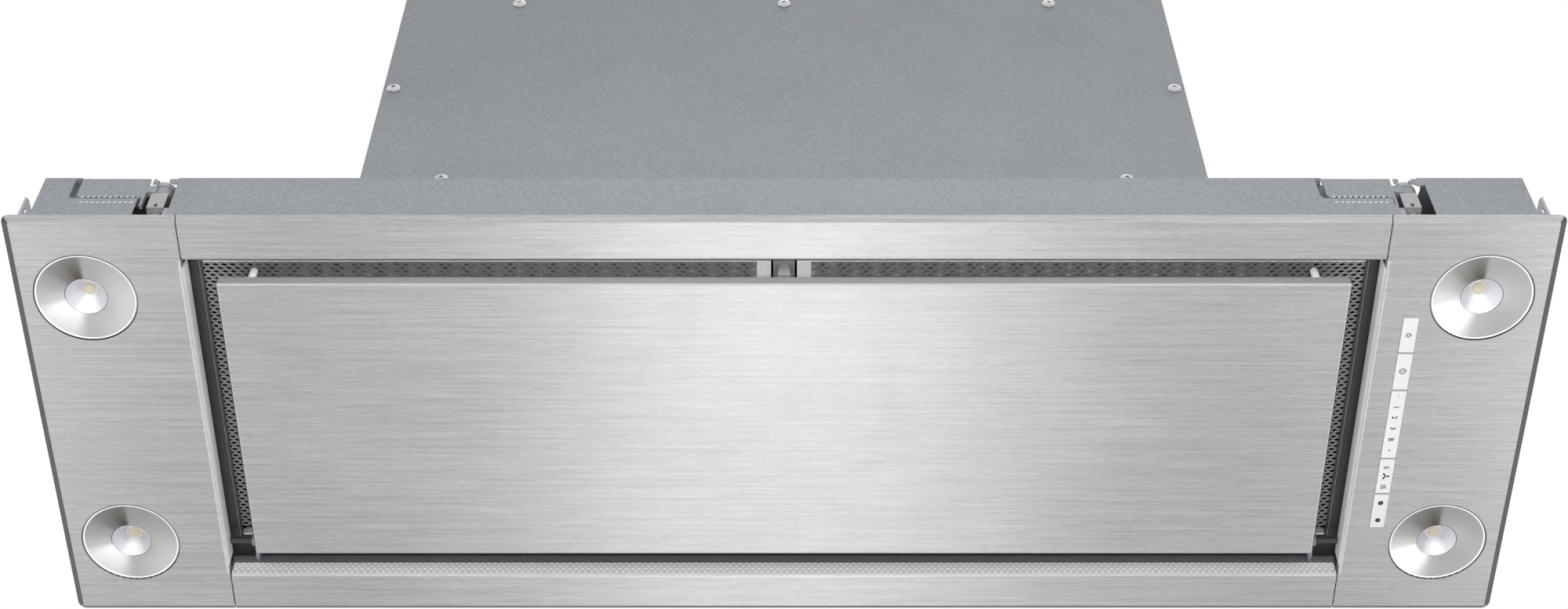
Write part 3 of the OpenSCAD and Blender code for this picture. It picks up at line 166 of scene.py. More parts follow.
class HoodStudio(bpy.types.PropertyGroup):
    lens: focal_length("Lens", "Focal length", 58.07)
    camera_y: distance("Camera place", "Distance of the camera in front", -0.9202)
    camera_z: distance("Camera height", "Height of the camera", -1.1867)
    camera_pitch: angle("Camera pitch", "Angle up from straight down", math.radians(146.61))
    shift: number("Vertical shift", "Upward shift of the frame in picture widths", -0.04775)
    floor_z: distance("Floor", "Height of the floor", -1.45)
    floor_colour: colour("Floor colour", "Pale floor", (0.86, 0.86, 0.86))
    room: share("Room light", "Brightness of the room on the object", 0.42)
    under: number("Light from below", "Brightness of the wide light on the floor", 0.29)
    band: number("Band light", "Brightness of the light under the middle", 1.5)
    sides: number("Side lights", "Brightness of the lights under the ends", 1.3)
    front: number("Front light", "Brightness of the light on the fan box", 0.65)
    gaps: number("Gap lights", "Brightness of the lights into the gaps, which no metal mirrors", 3.0)
    over: number("Overhead light", "Brightness of the light from above", 0.8)


# Node trees


def wire(tree, socket, value):
    """Links an output to the socket, or sets the socket's own value."""
    if isinstance(value, bpy.types.NodeSocket):
        tree.links.new(value, socket)
    elif socket.type == "RGBA":
        socket.default_value = (*value[:3], 1.0)
    else:
        socket.default_value = value


def add(tree, kind, settings=None, *entries, **inputs):
    """A new node with its settings, its first inputs in order, and others by name."""
    made = tree.nodes.new(kind)
    for key, value in (settings or {}).items():
        setattr(made, key, value)
    for socket, value in zip(made.inputs, entries):
        wire(tree, socket, value)
    for key, value in inputs.items():
        wire(tree, made.inputs[key.replace("_", " ")], value)
    return made


def maths(tree, operation, first, second=0.0, clamp=False):
    settings = {"operation": operation, "use_clamp": clamp}
    return add(tree, "ShaderNodeMath", settings, first, second).outputs[0]


def times(tree, first, *others):
    for other in others:
        first = maths(tree, "MULTIPLY", first, other)
    return first


def weighted(tree, *parts):
    """Sum of values, each times its weight."""
    total, *others = [times(tree, value, weight) for value, weight in parts]
    for other in others:
        total = maths(tree, "ADD", total, other)
    return total


def remap(tree, value, low, high, to_low=0.0, to_high=1.0, smooth=False):
    settings = {"interpolation_type": "SMOOTHSTEP" if smooth else "LINEAR"}
    return add(tree, "ShaderNodeMapRange", settings, value, low, high, to_low, to_high).outputs[0]


def blend_colours(tree, factor, first, second, mode="MIX"):
    made = add(tree, "ShaderNodeMix", {"data_type": "RGBA", "blend_type": mode}, Factor=factor)
    wire(tree, made.inputs[6], first)
    wire(tree, made.inputs[7], second)
    return made.outputs[2]


def noise(tree, vector, scale, detail, roughness):
    made = add(tree, "ShaderNodeTexNoise", Vector=vector, Scale=scale, Detail=detail, Roughness=roughness)
    return made.outputs[0]


def new_group(name, outputs, **inputs):
    """An empty node group: (tree, its given sockets, its output node).
    It is given a vector and the inputs, which are values if their default is a number."""
    tree = bpy.data.node_groups.new(name, "ShaderNodeTree")
    for label, default in {"Vector": None, **inputs}.items():
        kind = "NodeSocketFloat" if isinstance(default, float) else "NodeSocketVector"
        socket = tree.interface.new_socket(name=label.replace("_", " "), in_out="INPUT", socket_type=kind)
        if default is not None:
            socket.default_value = default
    for label in outputs:
        tree.interface.new_socket(name=label, in_out="OUTPUT", socket_type="NodeSocketFloat")
    return tree, tree.nodes.new("NodeGroupInput").outputs, tree.nodes.new("NodeGroupOutput")


def put_out(tree, out, **results):
    for label, value in results.items():
        tree.links.new(value, out.inputs[label])
    return tree


def make_brushed_grain():
    """Long lines along X in three widths, with a slow change in tone."""
    tree, given, out = new_group("brushed_grain", ["Tone", "Height"], Line=(0.06, 0.0008, 0.0008))
    place = add(tree, "ShaderNodeVectorMath", {"operation": "DIVIDE"}, given["Vector"], given["Line"])
    fine = noise(tree, place.outputs[0], 1.0, 3.0, 0.65)
    broad = noise(tree, place.outputs[0], 0.27, 2.0, 0.5)
    slow = noise(tree, given["Vector"], 9.0, 1.0, 0.4)
    cut = add(tree, "ShaderNodeVectorMath", {"operation": "MULTIPLY"}, place.outputs[0], (7.0, 1.6, 1.6))
    short = noise(tree, cut.outputs[0], 1.0, 2.0, 0.6)
    tone = weighted(tree, (fine, 0.4), (broad, 0.22), (short, 0.28), (slow, 0.1))
    return put_out(tree, out, Tone=remap(tree, tone, 0.34, 0.66), Height=fine)


def make_speckle():
    """Small crystals of a zinc coat, with a fine noise over them."""
    tree, given, out = new_group("zinc_speckle", ["Tone", "Height"], Size=0.0011)
    scale = maths(tree, "DIVIDE", 1.0, given["Size"])
    cells = add(tree, "ShaderNodeTexVoronoi", Vector=given["Vector"], Scale=scale)
    split = add(tree, "ShaderNodeSeparateColor", Color=cells.outputs["Color"])
    fine = noise(tree, given["Vector"], times(tree, scale, 1.7), 2.0, 0.6)
    slow = noise(tree, given["Vector"], 14.0, 2.0, 0.5)
    tone = weighted(tree, (split.outputs[0], 0.4), (fine, 0.45), (slow, 0.15))
    return put_out(tree, out, Tone=tone, Height=fine)


def make_moulded():
    """Fine texture of a moulded surface."""
    tree, given, out = new_group("moulded_grain", ["Tone", "Height"], Size=0.0008)
    scale = maths(tree, "DIVIDE", 1.0, given["Size"])
    fine = noise(tree, given["Vector"], scale, 3.0, 0.6)
    slow = noise(tree, given["Vector"], times(tree, scale, 0.06), 2.0, 0.5)
    return put_out(tree, out, Tone=weighted(tree, (fine, 0.5), (slow, 0.5)), Height=fine)


def make_handling():
    """Soft marks of handling and dust, which dull a surface a little."""
    tree, given, out = new_group("handling_marks", ["Mask"], Amount=0.1)
    patch = remap(tree, noise(tree, given["Vector"], 22.0, 4.0, 0.6), 0.45, 0.75, smooth=True)
    return put_out(tree, out, Mask=times(tree, patch, given["Amount"]))


def make_turned():
    """Rings of a turned or spun face, from a map whose U runs round and V from the middle out."""
    tree, given, out = new_group("turned_rings", ["Tone", "Height", "Round", "Reach"], Rings=50.0)
    split = add(tree, "ShaderNodeSeparateXYZ", Vector=given["Vector"]).outputs
    turns = times(tree, split["Y"], given["Rings"])
    wave = maths(tree, "SINE", times(tree, turns, 2 * math.pi))
    across = add(tree, "ShaderNodeCombineXYZ", None, 0.0, times(tree, turns, 1.7), 0.0)
    uneven = noise(tree, across.outputs[0], 1.0, 3.0, 0.7)
    height = maths(tree, "ADD", times(tree, wave, 0.2), uneven)
    return put_out(tree, out, Tone=remap(tree, uneven, 0.3, 0.7), Height=height, Round=split["X"],
                   Reach=split["Y"])


# Half width of the painted shadow lines at the joints, and the pitch of the lozenges painted on the rear
# wall as a painted reflection of the expanded metal
JOINT_HALF = 0.00045
LOZENGE_X = 0.0039
LOZENGE_Z = 0.0052
# The upright front face of the panel lies in front of this
FRONT_FACE = -0.14


def make_sheet_edges():
    """Masks of the panel's bent sheets: upright walls, the rim's outward slope for painted shade, painted
    shadow lines at joints and round the lamps, painted light, highlights and a painted reflection on walls
    and bent edges, and painted shade on the walls that face forward."""
    tree, given, out = new_group("sheet_edges_and_painted_light", ["Wall", "Rim", "Gap", "Glow", "Forward"], Normal=None,
                                 Seam=0.3, Strips=0.1, Lamp_X=0.3, Lamp_Y=0.1, Lamp_Radius=0.03)
    place = add(tree, "ShaderNodeSeparateXYZ", Vector=given["Vector"]).outputs
    facing = add(tree, "ShaderNodeSeparateXYZ", Vector=given["Normal"]).outputs
    upright = maths(tree, "ABSOLUTE", facing["Z"])
    side = times(tree, facing["X"], maths(tree, "SIGN", place["X"]))
    rear = times(tree, facing["Y"], maths(tree, "GREATER_THAN", place["Y"], 0.0))
    outward = maths(tree, "MAXIMUM", side, rear)
    # Painted shadow lines along the joints and round the lamp holes
    wide = maths(tree, "ABSOLUTE", place["X"])
    deep = maths(tree, "ABSOLUTE", place["Y"])
    off_seam = maths(tree, "ABSOLUTE", maths(tree, "SUBTRACT", wide, given["Seam"]))
    joint = times(tree, maths(tree, "LESS_THAN", off_seam, JOINT_HALF),
                  maths(tree, "GREATER_THAN", deep, given["Strips"]))
    from_lamp = add(tree, "ShaderNodeCombineXYZ", None, maths(tree, "SUBTRACT", wide, given["Lamp X"]),
                    maths(tree, "SUBTRACT", deep, given["Lamp Y"]), 0.0)
    reach = add(tree, "ShaderNodeVectorMath", {"operation": "LENGTH"}, from_lamp.outputs[0])
    hole = maths(tree, "LESS_THAN", reach.outputs["Value"], given["Lamp Radius"])
    # Painted shade on walls that face forward, and on the one at the rear a painted reflection of lozenges,
    # lighter with height
    forward = maths(tree, "LESS_THAN", facing["Y"], -0.8)
    at_rear = maths(tree, "GREATER_THAN", place["Y"], given["Strips"])
    ahead = maths(tree, "LESS_THAN", place["Y"], 0.0)
    forward_shade = times(tree, forward, maths(tree, "MAXIMUM", ahead, times(tree, at_rear, 0.6)))
    along = maths(tree, "COSINE", times(tree, place["X"], 2 * math.pi / LOZENGE_X))
    up = maths(tree, "COSINE", times(tree, place["Z"], 2 * math.pi / LOZENGE_Z))
    painted_lozenges = remap(tree, times(tree, along, up), 0.15, 0.75, smooth=True)
    high = remap(tree, place["Z"], 0.002, 0.009, 0.0, 0.165)
    rear_wall_light = times(tree, forward, at_rear, maths(tree, "ADD", times(tree, painted_lozenges, 0.28), high))
    # Painted light on the feet of the inward walls, and painted highlights on the bent edges
    foot_light = times(tree, remap(tree, side, -0.5, -0.8), remap(tree, place["Z"], 0.0055, 0.0038, 0.0, 0.10))
    bend_highlight = times(tree, remap(tree, upright, 0.25, 0.45), remap(tree, upright, 0.98, 0.9),
                 maths(tree, "GREATER_THAN", place["Y"], FRONT_FACE),
                 remap(tree, outward, 0.45, 0.25, 0.0, 0.15), remap(tree, side, -0.3, -0.1, 0.4, 1.0))
    return put_out(tree, out, Wall=remap(tree, upright, 0.6, 0.25, smooth=True),
                   Rim=remap(tree, outward, 0.25, 0.45, smooth=True),
                   Gap=maths(tree, "MAXIMUM", joint, hole), Forward=forward_shade,
                   Glow=maths(tree, "ADD", maths(tree, "ADD", rear_wall_light, foot_light), bend_highlight))


def make_place_mask():
    """Mask by place: the distance from the middle in X, and Y, each fading between two limits."""
    tree, given, out = new_group("place_mask", ["Mask"], Wide_Off=0.0, Wide_On=0.1, Deep_Off=10.0,
                                 Deep_On=9.0)
    place = add(tree, "ShaderNodeSeparateXYZ", Vector=given["Vector"]).outputs
    away = maths(tree, "ABSOLUTE", place["X"])
    wide = remap(tree, away, given["Wide Off"], given["Wide On"])
    deep = remap(tree, place["Y"], given["Deep Off"], given["Deep On"])
    return put_out(tree, out, Mask=times(tree, deep, wide))


MAKERS = {"sheet_edges_and_painted_light": make_sheet_edges, "place_mask": make_place_mask,
          "brushed_grain": make_brushed_grain, "zinc_speckle": make_speckle,
          "moulded_grain": make_moulded, "handling_marks": make_handling, "turned_rings": make_turned}


def shared(tree, name, *entries, **inputs):
    """Places a shared effect in a material, building it the first time."""
    group = bpy.data.node_groups.get(name) or MAKERS[name]()
    return add(tree, "ShaderNodeGroup", {"node_tree": group}, *entries, **inputs)


# Finishes

# Black of the painted shadow lines at the joints and round the lamp holes
SHADOW_LINE_BLACK = (0.03, 0.03, 0.03)
# Shares of the wall's and the sheet's colour, painted as shade on walls that face forward and on the rim's
# slope
FORWARD_SHADE_SHARE = 0.42
RIM_SHADE_SHARE = 0.26
# How far the painted black shadow ring reaches beyond a lamp's rim, and the strips' inner edge beyond the
# baffle
LAMP_SHADOW_REACH = 0.75 * MM
STRIP_GAP = 0.01


def scaled(tint, factor):
    return tuple(min(1.0, part * factor) for part in tint)


# Emission as painted light: the surface glows in place of light or reflections it would catch
def paint_light_as_emission(tree, shader, glow):
    tree.links.new(glow, shader.inputs["Emission Color"])
    shader.inputs["Emission Strength"].default_value = 1.0


def panel_edges_and_painted_light(tree, shader, shade, pattern):
    """Duller, paler walls as painted light, painted shade on the slope round the panel and on walls that
    face forward, painted shadow lines at joints and lamps, and painted light on walls and bent edges.
    """
    look = bpy.context.scene.hood_finish
    place = tree.nodes.new("ShaderNodeTexCoord").outputs
    lamp = lamp_centre("rear_right")
    masks = shared(tree, "sheet_edges_and_painted_light", place["Object"], place["Normal"],
                   Seam=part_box("rear_strip")[1].x, Strips=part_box("baffle_skin")[1].y + STRIP_GAP,
                   Lamp_X=lamp.x, Lamp_Y=lamp.y,
                   Lamp_Radius=bpy.context.scene.hood_lamp.rim_r + LAMP_SHADOW_REACH).outputs
    # Painted light and shade: paler walls, darker forward walls and rim slope, black shadow lines
    for mask, tint in (("Wall", look.wall), ("Forward", scaled(look.wall, FORWARD_SHADE_SHARE)),
                       ("Rim", scaled(look.stainless, RIM_SHADE_SHARE)), ("Gap", SHADOW_LINE_BLACK)):
        shade = blend_colours(tree, masks[mask], shade, tint)
    tree.links.new(remap(tree, masks["Wall"], 0.0, 1.0, 1.0, 0.3), shader.inputs["Metallic"])
    paint_light_as_emission(tree, shader, masks["Glow"])
    return shade


def place_mask(factor, **limits):
    """A change that takes the colour times a factor where the place mask is on."""
    def change(tree, shader, shade, pattern):
        place = tree.nodes.new("ShaderNodeTexCoord").outputs["Object"]
        mask = shared(tree, "place_mask", place, **limits)
        changed = add(tree, "ShaderNodeVectorMath", {"operation": "SCALE"}, shade, Scale=factor)
        return blend_colours(tree, mask.outputs["Mask"], shade, changed.outputs[0])
    return change


DISH_EVEN_REFLECTION = (0.57, 0.565, 0.56)
DISH_BEAD_HIGHLIGHT = (0.97, 0.97, 0.97)
# Painted reflection round a lamp: place round the axis, and colour there
DISH_PAINTED_SECTORS = ((0.0, 0.57, 0.56, 0.555), (0.10, 0.55, 0.535, 0.525), (0.25, 0.62, 0.61, 0.605),
                (0.33, 0.96, 0.96, 0.96), (0.43, 1.0, 1.0, 1.0), (0.49, 0.66, 0.65, 0.645),
                (0.57, 0.46, 0.45, 0.44), (0.65, 0.24, 0.23, 0.22), (0.715, 0.14, 0.13, 0.12),
                (0.735, 0.16, 0.15, 0.14), (0.765, 0.52, 0.51, 0.505), (1.0, 0.57, 0.56, 0.555))
FUNNEL_PAINTED_SECTORS = ((0.0, 0.60, 0.595, 0.625), (0.10, 0.64, 0.635, 0.66), (0.20, 0.88, 0.88, 0.89),
                  (0.25, 0.98, 0.98, 0.98), (0.30, 0.88, 0.88, 0.89), (0.40, 0.60, 0.595, 0.625),
                  (0.55, 0.50, 0.495, 0.525), (0.75, 0.54, 0.535, 0.565), (1.0, 0.60, 0.595, 0.625))


def painted_sectors(tree, turn, stops):
    """Painted reflection: colour that changes round the axis, standing in for the room that a turned metal
    face mirrors.
    """
    ramp = add(tree, "ShaderNodeValToRGB", None, turn)
    ramp.color_ramp.interpolation = "EASE"
    bands = ramp.color_ramp.elements
    bands[0].position, bands[0].color = stops[0][0], (*stops[0][1:], 1.0)
    bands[1].position, bands[1].color = stops[-1][0], (*stops[-1][1:], 1.0)
    for position, *tint in stops[1:-1]:
        bands.new(position).color = (*tint, 1.0)
    return ramp.outputs["Color"]


def dish_painted_reflection(tree, shader, shade, rings):
    """Painted reflection in wedges where the dish would catch or lose light, evened out towards its bead,
    which gets a painted highlight; the brightest parts glow as painted light.
    """
    burst = painted_sectors(tree, rings.outputs["Round"], DISH_PAINTED_SECTORS)
    even = remap(tree, rings.outputs["Reach"], 0.5, 1.0, 0.0, 0.45)
    burst = blend_colours(tree, even, burst, DISH_EVEN_REFLECTION)
    burst = blend_colours(tree, 1.0, shade, burst, "MULTIPLY")
    bead = remap(tree, rings.outputs["Reach"], 0.958, 0.965)
    split = add(tree, "ShaderNodeSeparateColor", None, burst)
    bright = remap(tree, split.outputs[0], 0.6, 1.0, 0.0, 0.24)
    paint_light_as_emission(tree, shader, maths(tree, "ADD", bright, times(tree, bead, 0.25)))
    return blend_colours(tree, bead, burst, DISH_BEAD_HIGHLIGHT)


# Painted reflection in wedges round the funnel's axis
def funnel_painted_reflection(tree, shader, shade, rings):
    burst = painted_sectors(tree, rings.outputs["Round"], FUNNEL_PAINTED_SECTORS)
    return blend_colours(tree, 1.0, shade, burst, "MULTIPLY")


def clear_from_below(tree, shader, shade, pattern):
    """Lets the camera look up through the floor."""
    clear = tree.nodes.new("ShaderNodeBsdfTransparent")
    side = tree.nodes.new("ShaderNodeNewGeometry")
    mixed = add(tree, "ShaderNodeMixShader", None, side.outputs["Backfacing"], shader.outputs["BSDF"],
                clear.outputs["BSDF"])
    out = next(n for n in tree.nodes if n.type == "OUTPUT_MATERIAL")
    tree.links.new(mixed.outputs[0], out.inputs["Surface"])
    return shade


def plastic(tint, rough, size=0.0006, relief=0.12, **sockets):
    return (tint, rough, 0.0, "moulded_grain", 0.05, 0.05, relief, 0.05, size, None, sockets)


# The middle of the front gap, where the filters are seen at a flat angle; there the mesh gets painted shade
# and the pack painted light
FRONT_GAP = {"Wide_Off": 0.325, "Wide_On": 0.27, "Deep_Off": -0.075, "Deep_On": -0.084}
# Direction that the brushed lines spread the light in
ACROSS_LINES = (0.0, 0.94, 0.34)


def recipes():
    """Each finish: colour, roughness, metal, grain, contrast, spread of the roughness, relief, marks and
    size of the grain, and for some a change to the colour and other sockets of the shader."""
    look = bpy.context.scene.hood_finish
    long_lines = (look.grain_length, look.grain_width, look.grain_width)
    short_lines = (0.012, 0.0006, 0.0006)
    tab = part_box("mounting_frame")[1].x
    side_tabs = place_mask(1.5, Wide_Off=tab, Wide_On=tab + 0.1 * MM)
    return {
        "brushed_stainless": (look.stainless, 0.36, 1.0, "brushed_grain", look.grain_depth, 0.05, 0.06,
                              0.03, long_lines, panel_edges_and_painted_light, {"Anisotropic": 0.7}),
        "galvanised_sheet": (look.zinc, 0.5, 0.35, "zinc_speckle", 0.38, 0.06, 0.04, 0.05, look.speckle,
                             side_tabs),
        "dark_coated_sheet": (look.dark_coat, 0.45, 0.0, "moulded_grain", 0.15, 0.06, 0.1, 0.08, 0.0006),
        "bright_steel": (look.bright_steel, 0.3, 1.0, "brushed_grain", 0.05, 0.06, 0.05, 0.06,
                         short_lines, None, {"Anisotropic": 0.4}),
        "dull_steel": (look.dull_steel, 0.38, 0.4, "brushed_grain", 0.05, 0.06, 0.05, 0.06, short_lines),
        "filter_aluminium": (look.aluminium, 0.42, 0.0, "brushed_grain", 0.05, 0.05, 0.05, 0.05,
                             (0.03, 0.0007, 0.0007)),
        "cast_aluminium": (look.aluminium, 0.5, 1.0, "zinc_speckle", 0.08, 0.06, 0.15, 0.05, 0.0009),
        # Painted shade on the mesh and painted light on the pack in the middle of the front gap
        "expanded_metal": (look.mesh, 0.45, 0.35, "moulded_grain", 0.1, 0.06, 0.08, 0.05, 0.0009,
                           place_mask(0.9, **FRONT_GAP)),
        "packed_mesh": (look.mesh_pack, 0.6, 0.2, "zinc_speckle", 0.5, 0.1, 0.6, 0.05, 0.0012,
                        place_mask(12.0, **FRONT_GAP)),
        "satin_dish": (look.dish, 0.3, 1.0, "turned_rings", 0.03, 0.04, 0.03, 0.02,
                       bpy.context.scene.hood_lamp.turned, dish_painted_reflection,
                       {"Anisotropic": 0.55, "Anisotropic Rotation": 0.25}),
        "milky_funnel": (look.funnel, 0.28, 0.0, "turned_rings", 0.02, 0.03, 0.05, 0.02, 60.0,
                         funnel_painted_reflection, {"Coat Weight": 0.2}),
        "led_phosphor": (look.light_source, 0.5, 0.0, "zinc_speckle", 0.12, 0.05, 0.2, 0.02, 0.0006),
        "circuit_board": (look.board, 0.4, 0.0, "zinc_speckle", 0.35, 0.08, 0.15, 0.05, 0.0021),
        "motor_housing": ((0.03, 0.03, 0.032), 0.35, 0.2, "moulded_grain", 0.1, 0.05, 0.1, 0.06, 0.0007),
        "pale_floor": (bpy.context.scene.hood_studio.floor_colour, 0.8, 0.0, "moulded_grain", 0.02, 0.03,
                       0.0, 0.02, 0.01, clear_from_below),
        "latch_plastic": plastic(look.grey_plastic, 0.45),
        "stud_plastic": plastic((0.93, 0.93, 0.94), 0.2, Coat_Weight=0.3, Subsurface_Weight=0.2,
                                Subsurface_Scale=0.002),
        "lamp_back": plastic(look.funnel, 0.35),
        "key_white": plastic(look.key, 0.16, 0.0009, 0.03, Coat_Weight=0.4),
        "key_ink": plastic(look.sign, 0.4),
        "pale_ink": plastic(look.pale_sign, 0.4),
        "dark_plastic": plastic(look.dark_plastic, 0.5),
        "duct_plastic": plastic(look.grey_plastic, 0.48, 0.0009),
        "box_plastic": plastic(look.box_plastic, 0.5, 0.0008),
    }


def finish(name):
    """The material of a recipe, with a shared grain in its colour, roughness and bump."""
    if "hood_" + name in bpy.data.materials:
        return bpy.data.materials["hood_" + name]
    tint, rough, metal, grain, spread, rough_spread, relief, marks, size, *more = recipes()[name]
    change, sockets = (*more, None, None)[:2]
    material = bpy.data.materials.new("hood_" + name)
    material.use_nodes = True
    tree = material.node_tree
    tree.nodes.clear()
    shader = tree.nodes.new("ShaderNodeBsdfPrincipled")
    out = tree.nodes.new("ShaderNodeOutputMaterial")
    tree.links.new(shader.outputs["BSDF"], out.inputs["Surface"])
    place = tree.nodes.new("ShaderNodeTexCoord").outputs["Object"]
    turned = grain == "turned_rings"
    spun = add(tree, "ShaderNodeUVMap", {"uv_map": SPIN_UV}).outputs["UV"] if turned else place
    pattern = shared(tree, grain, spun, size)
    tone = pattern.outputs["Tone"]
    shade = blend_colours(tree, tone, scaled(tint, 1 - spread), scaled(tint, 1 + spread))
    if change:
        shade = change(tree, shader, shade, pattern)
    tree.links.new(shade, shader.inputs["Base Color"])
    dull = shared(tree, "handling_marks", place, marks)
    worn = maths(tree, "ADD", remap(tree, tone, 0.0, 1.0, rough - rough_spread, rough + rough_spread),
                 dull.outputs["Mask"], clamp=True)
    tree.links.new(worn, shader.inputs["Roughness"])
    bump = add(tree, "ShaderNodeBump", Strength=relief, Distance=0.0004, Height=pattern.outputs["Height"])
    tree.links.new(bump.outputs["Normal"], shader.inputs["Normal"])
    shader.inputs["Metallic"].default_value = metal
    for key, value in (sockets or {}).items():
        shader.inputs[key.replace("_", " ")].default_value = value
    if sockets and "Anisotropic" in sockets:
        along = add(tree, "ShaderNodeCombineXYZ", None, *ACROSS_LINES)
        if turned:
            along = add(tree, "ShaderNodeTangent", {"direction_type": "UV_MAP", "uv_map": SPIN_UV})
        tree.links.new(along.outputs[0], shader.inputs["Tangent"])
    return material


# Pieces


def linked(name, data):
    made = bpy.data.objects.new(name, data)
    bpy.context.scene.collection.objects.link(made)
    return made


def put(name, shape, look, body, nodes=(), smooth=35.0):
    """A finished piece of that shape: its object at the origin, riding on a body of the frame."""
    piece = linked(name, to_mesh(name, shape, smooth))
    piece.data.materials.append(finish(look))
    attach(piece, body)
    if nodes:
        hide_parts(*nodes)
    return piece


def to_mesh(name, shape, smooth=35.0):
    bmesh.ops.remove_doubles(shape, verts=shape.verts, dist=1e-6)
    bmesh.ops.recalc_face_normals(shape, faces=shape.faces)
    mesh = bpy.data.meshes.new(name)
    shape.to_mesh(mesh)
    shape.free()
    mesh.shade_smooth()
    mesh.set_sharp_from_angle(angle=math.radians(smooth))
    return mesh


def shift(shape, way, verts=None):
    bmesh.ops.translate(shape, vec=way, verts=verts or shape.verts)


def grow(shape, kind, way, **held):
    """Extrudes edges or vertices along a way, and gives back the new ones."""
    grown = kind(shape, **held)
    grown = grown.get("geom") or grown["verts"]
    moved = [g for g in grown if isinstance(g, bmesh.types.BMVert)]
    shift(shape, way, moved)
    return grown, moved


def spin(shape, profile, steps, closed=True):
    """Spins a profile of (radius, height) round the Z axis; an open one ends on the axis."""
    points = [shape.verts.new((r, 0.0, z)) for r, z in profile]
    ends = points[1:] + points[:1] if closed else points[1:]
    edges = [shape.edges.new(pair) for pair in zip(points, ends)]
    bmesh.ops.spin(shape, geom=points + edges, cent=(0, 0, 0), axis=(0, 0, 1), dvec=(0, 0, 0),
                   angle=2 * math.pi, steps=steps, use_merge=True)
    if not closed:
        bmesh.ops.remove_doubles(shape, verts=shape.verts, dist=1e-6)


def spin_map(shape, radius):
    """UV map whose U runs round the Z axis and V from the middle to the rim."""
    layer = shape.loops.layers.uv.new(SPIN_UV)
    for face in shape.faces:
        middle = face.calc_center_median()
        home = math.atan2(middle.y, middle.x) / (2 * math.pi) % 1.0
        for corner in face.loops:
            at = corner.vert.co
            turn = math.atan2(at.y, at.x) / (2 * math.pi) % 1.0
            turn += round(home - turn)
            corner[layer].uv = (turn, math.hypot(at.x, at.y) / radius)


def lamp_centre(place):
    low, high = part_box("lamp_cone_" + place)
    return Vector(((low.x + high.x) / 2, (low.y + high.y) / 2, 0.0))


def dish_profile(sizes):
    rim, mouth, rise = sizes.rim_r, sizes.mouth_r, sizes.depth
    bowl = rim - 1.15 * MM
    face = [(bowl - (bowl - mouth) * t, 0.62 * MM + (rise - 0.62 * MM) * math.sin(t * math.pi / 2))
            for t in (0.0, 0.15, 0.3, 0.5, 0.7, 0.88)]
    bead = [(rim - inset * MM, height * MM) for inset, height in (
        (0.0, 0.75), (0.1, 0.35), (0.3, 0.1), (0.55, 0.03), (0.8, 0.1), (1.0, 0.3))]
    lip = [(mouth + 0.15 * MM, rise), (mouth, rise + 0.15 * MM), (mouth, rise + 0.95 * MM)]
    back = [(mouth + 4 * MM, rise + 0.9 * MM), (bowl - MM, 1.5 * MM), (rim - MM, 2.0 * MM),
            (rim - MM, sizes.wall_top), (rim, sizes.wall_top)]
    return bead + face + lip + back


def funnel_profile(sizes):
    """A flange behind the dish's mouth, and a cone from there up to the throat round the source."""
    mouth = sizes.mouth_r - 0.3 * MM
    seat = sizes.depth + 1.02 * MM
    top = sizes.funnel_top
    throat = 4.6 * MM
    wall = 0.75 * MM
    flange = mouth + 2.2 * MM
    start = (mouth - 0.4 * MM, sizes.depth - 0.1 * MM)
    inner = [(start[0] + (throat - start[0]) * t, start[1] + (top - start[1]) * t)
             for t in (1.0, 0.85, 0.6, 0.35, 0.12, 0.0)]
    return [(mouth, sizes.depth + 0.05 * MM), (mouth, seat), (flange, seat), (flange, seat + wall),
            (mouth - 0.6 * MM, seat + wall), (throat + wall, top), *inner,
            (mouth - 0.2 * MM, sizes.depth - 0.15 * MM)]


def source_profile(sizes):
    top, edge = sizes.funnel_top, sizes.source_r
    return [(0.0, top - 0.5 * MM), (edge * 0.6, top - 0.46 * MM), (edge * 0.9, top - 0.3 * MM),
            (edge, top - 0.02 * MM), (0.0, top - 0.02 * MM)]


class HOOD_OT_lamps(bpy.types.Operator):
    """Spun dish, milky funnel and light source of each of the four lamps"""
    bl_idname = "hood.lamps"
    bl_label = "Lamps"

    def execute(self, context):
        sizes = context.scene.hood_lamp
        for place in LAMPS:
            for name, profile, steps, mapped, look, slot, nodes in (
                    ("dish_", dish_profile, 96, sizes.rim_r, "satin_dish", "reflector_aluminium",
                     ["lamp_reflector_" + place]),
                    ("funnel_", funnel_profile, 72, sizes.mouth_r, "milky_funnel", "lamp_lens",
                     ["lamp_cone_" + place]),
                    ("source_", source_profile, 40, None, "led_phosphor", "led_heat_sink", ())):
                shape = bmesh.new()
                spin(shape, profile(sizes), steps, closed=mapped is not None)
                if mapped:
                    spin_map(shape, mapped)
                shift(shape, lamp_centre(place))
                put(name + place, shape, look, "hood", nodes)
        return {"FINISHED"}


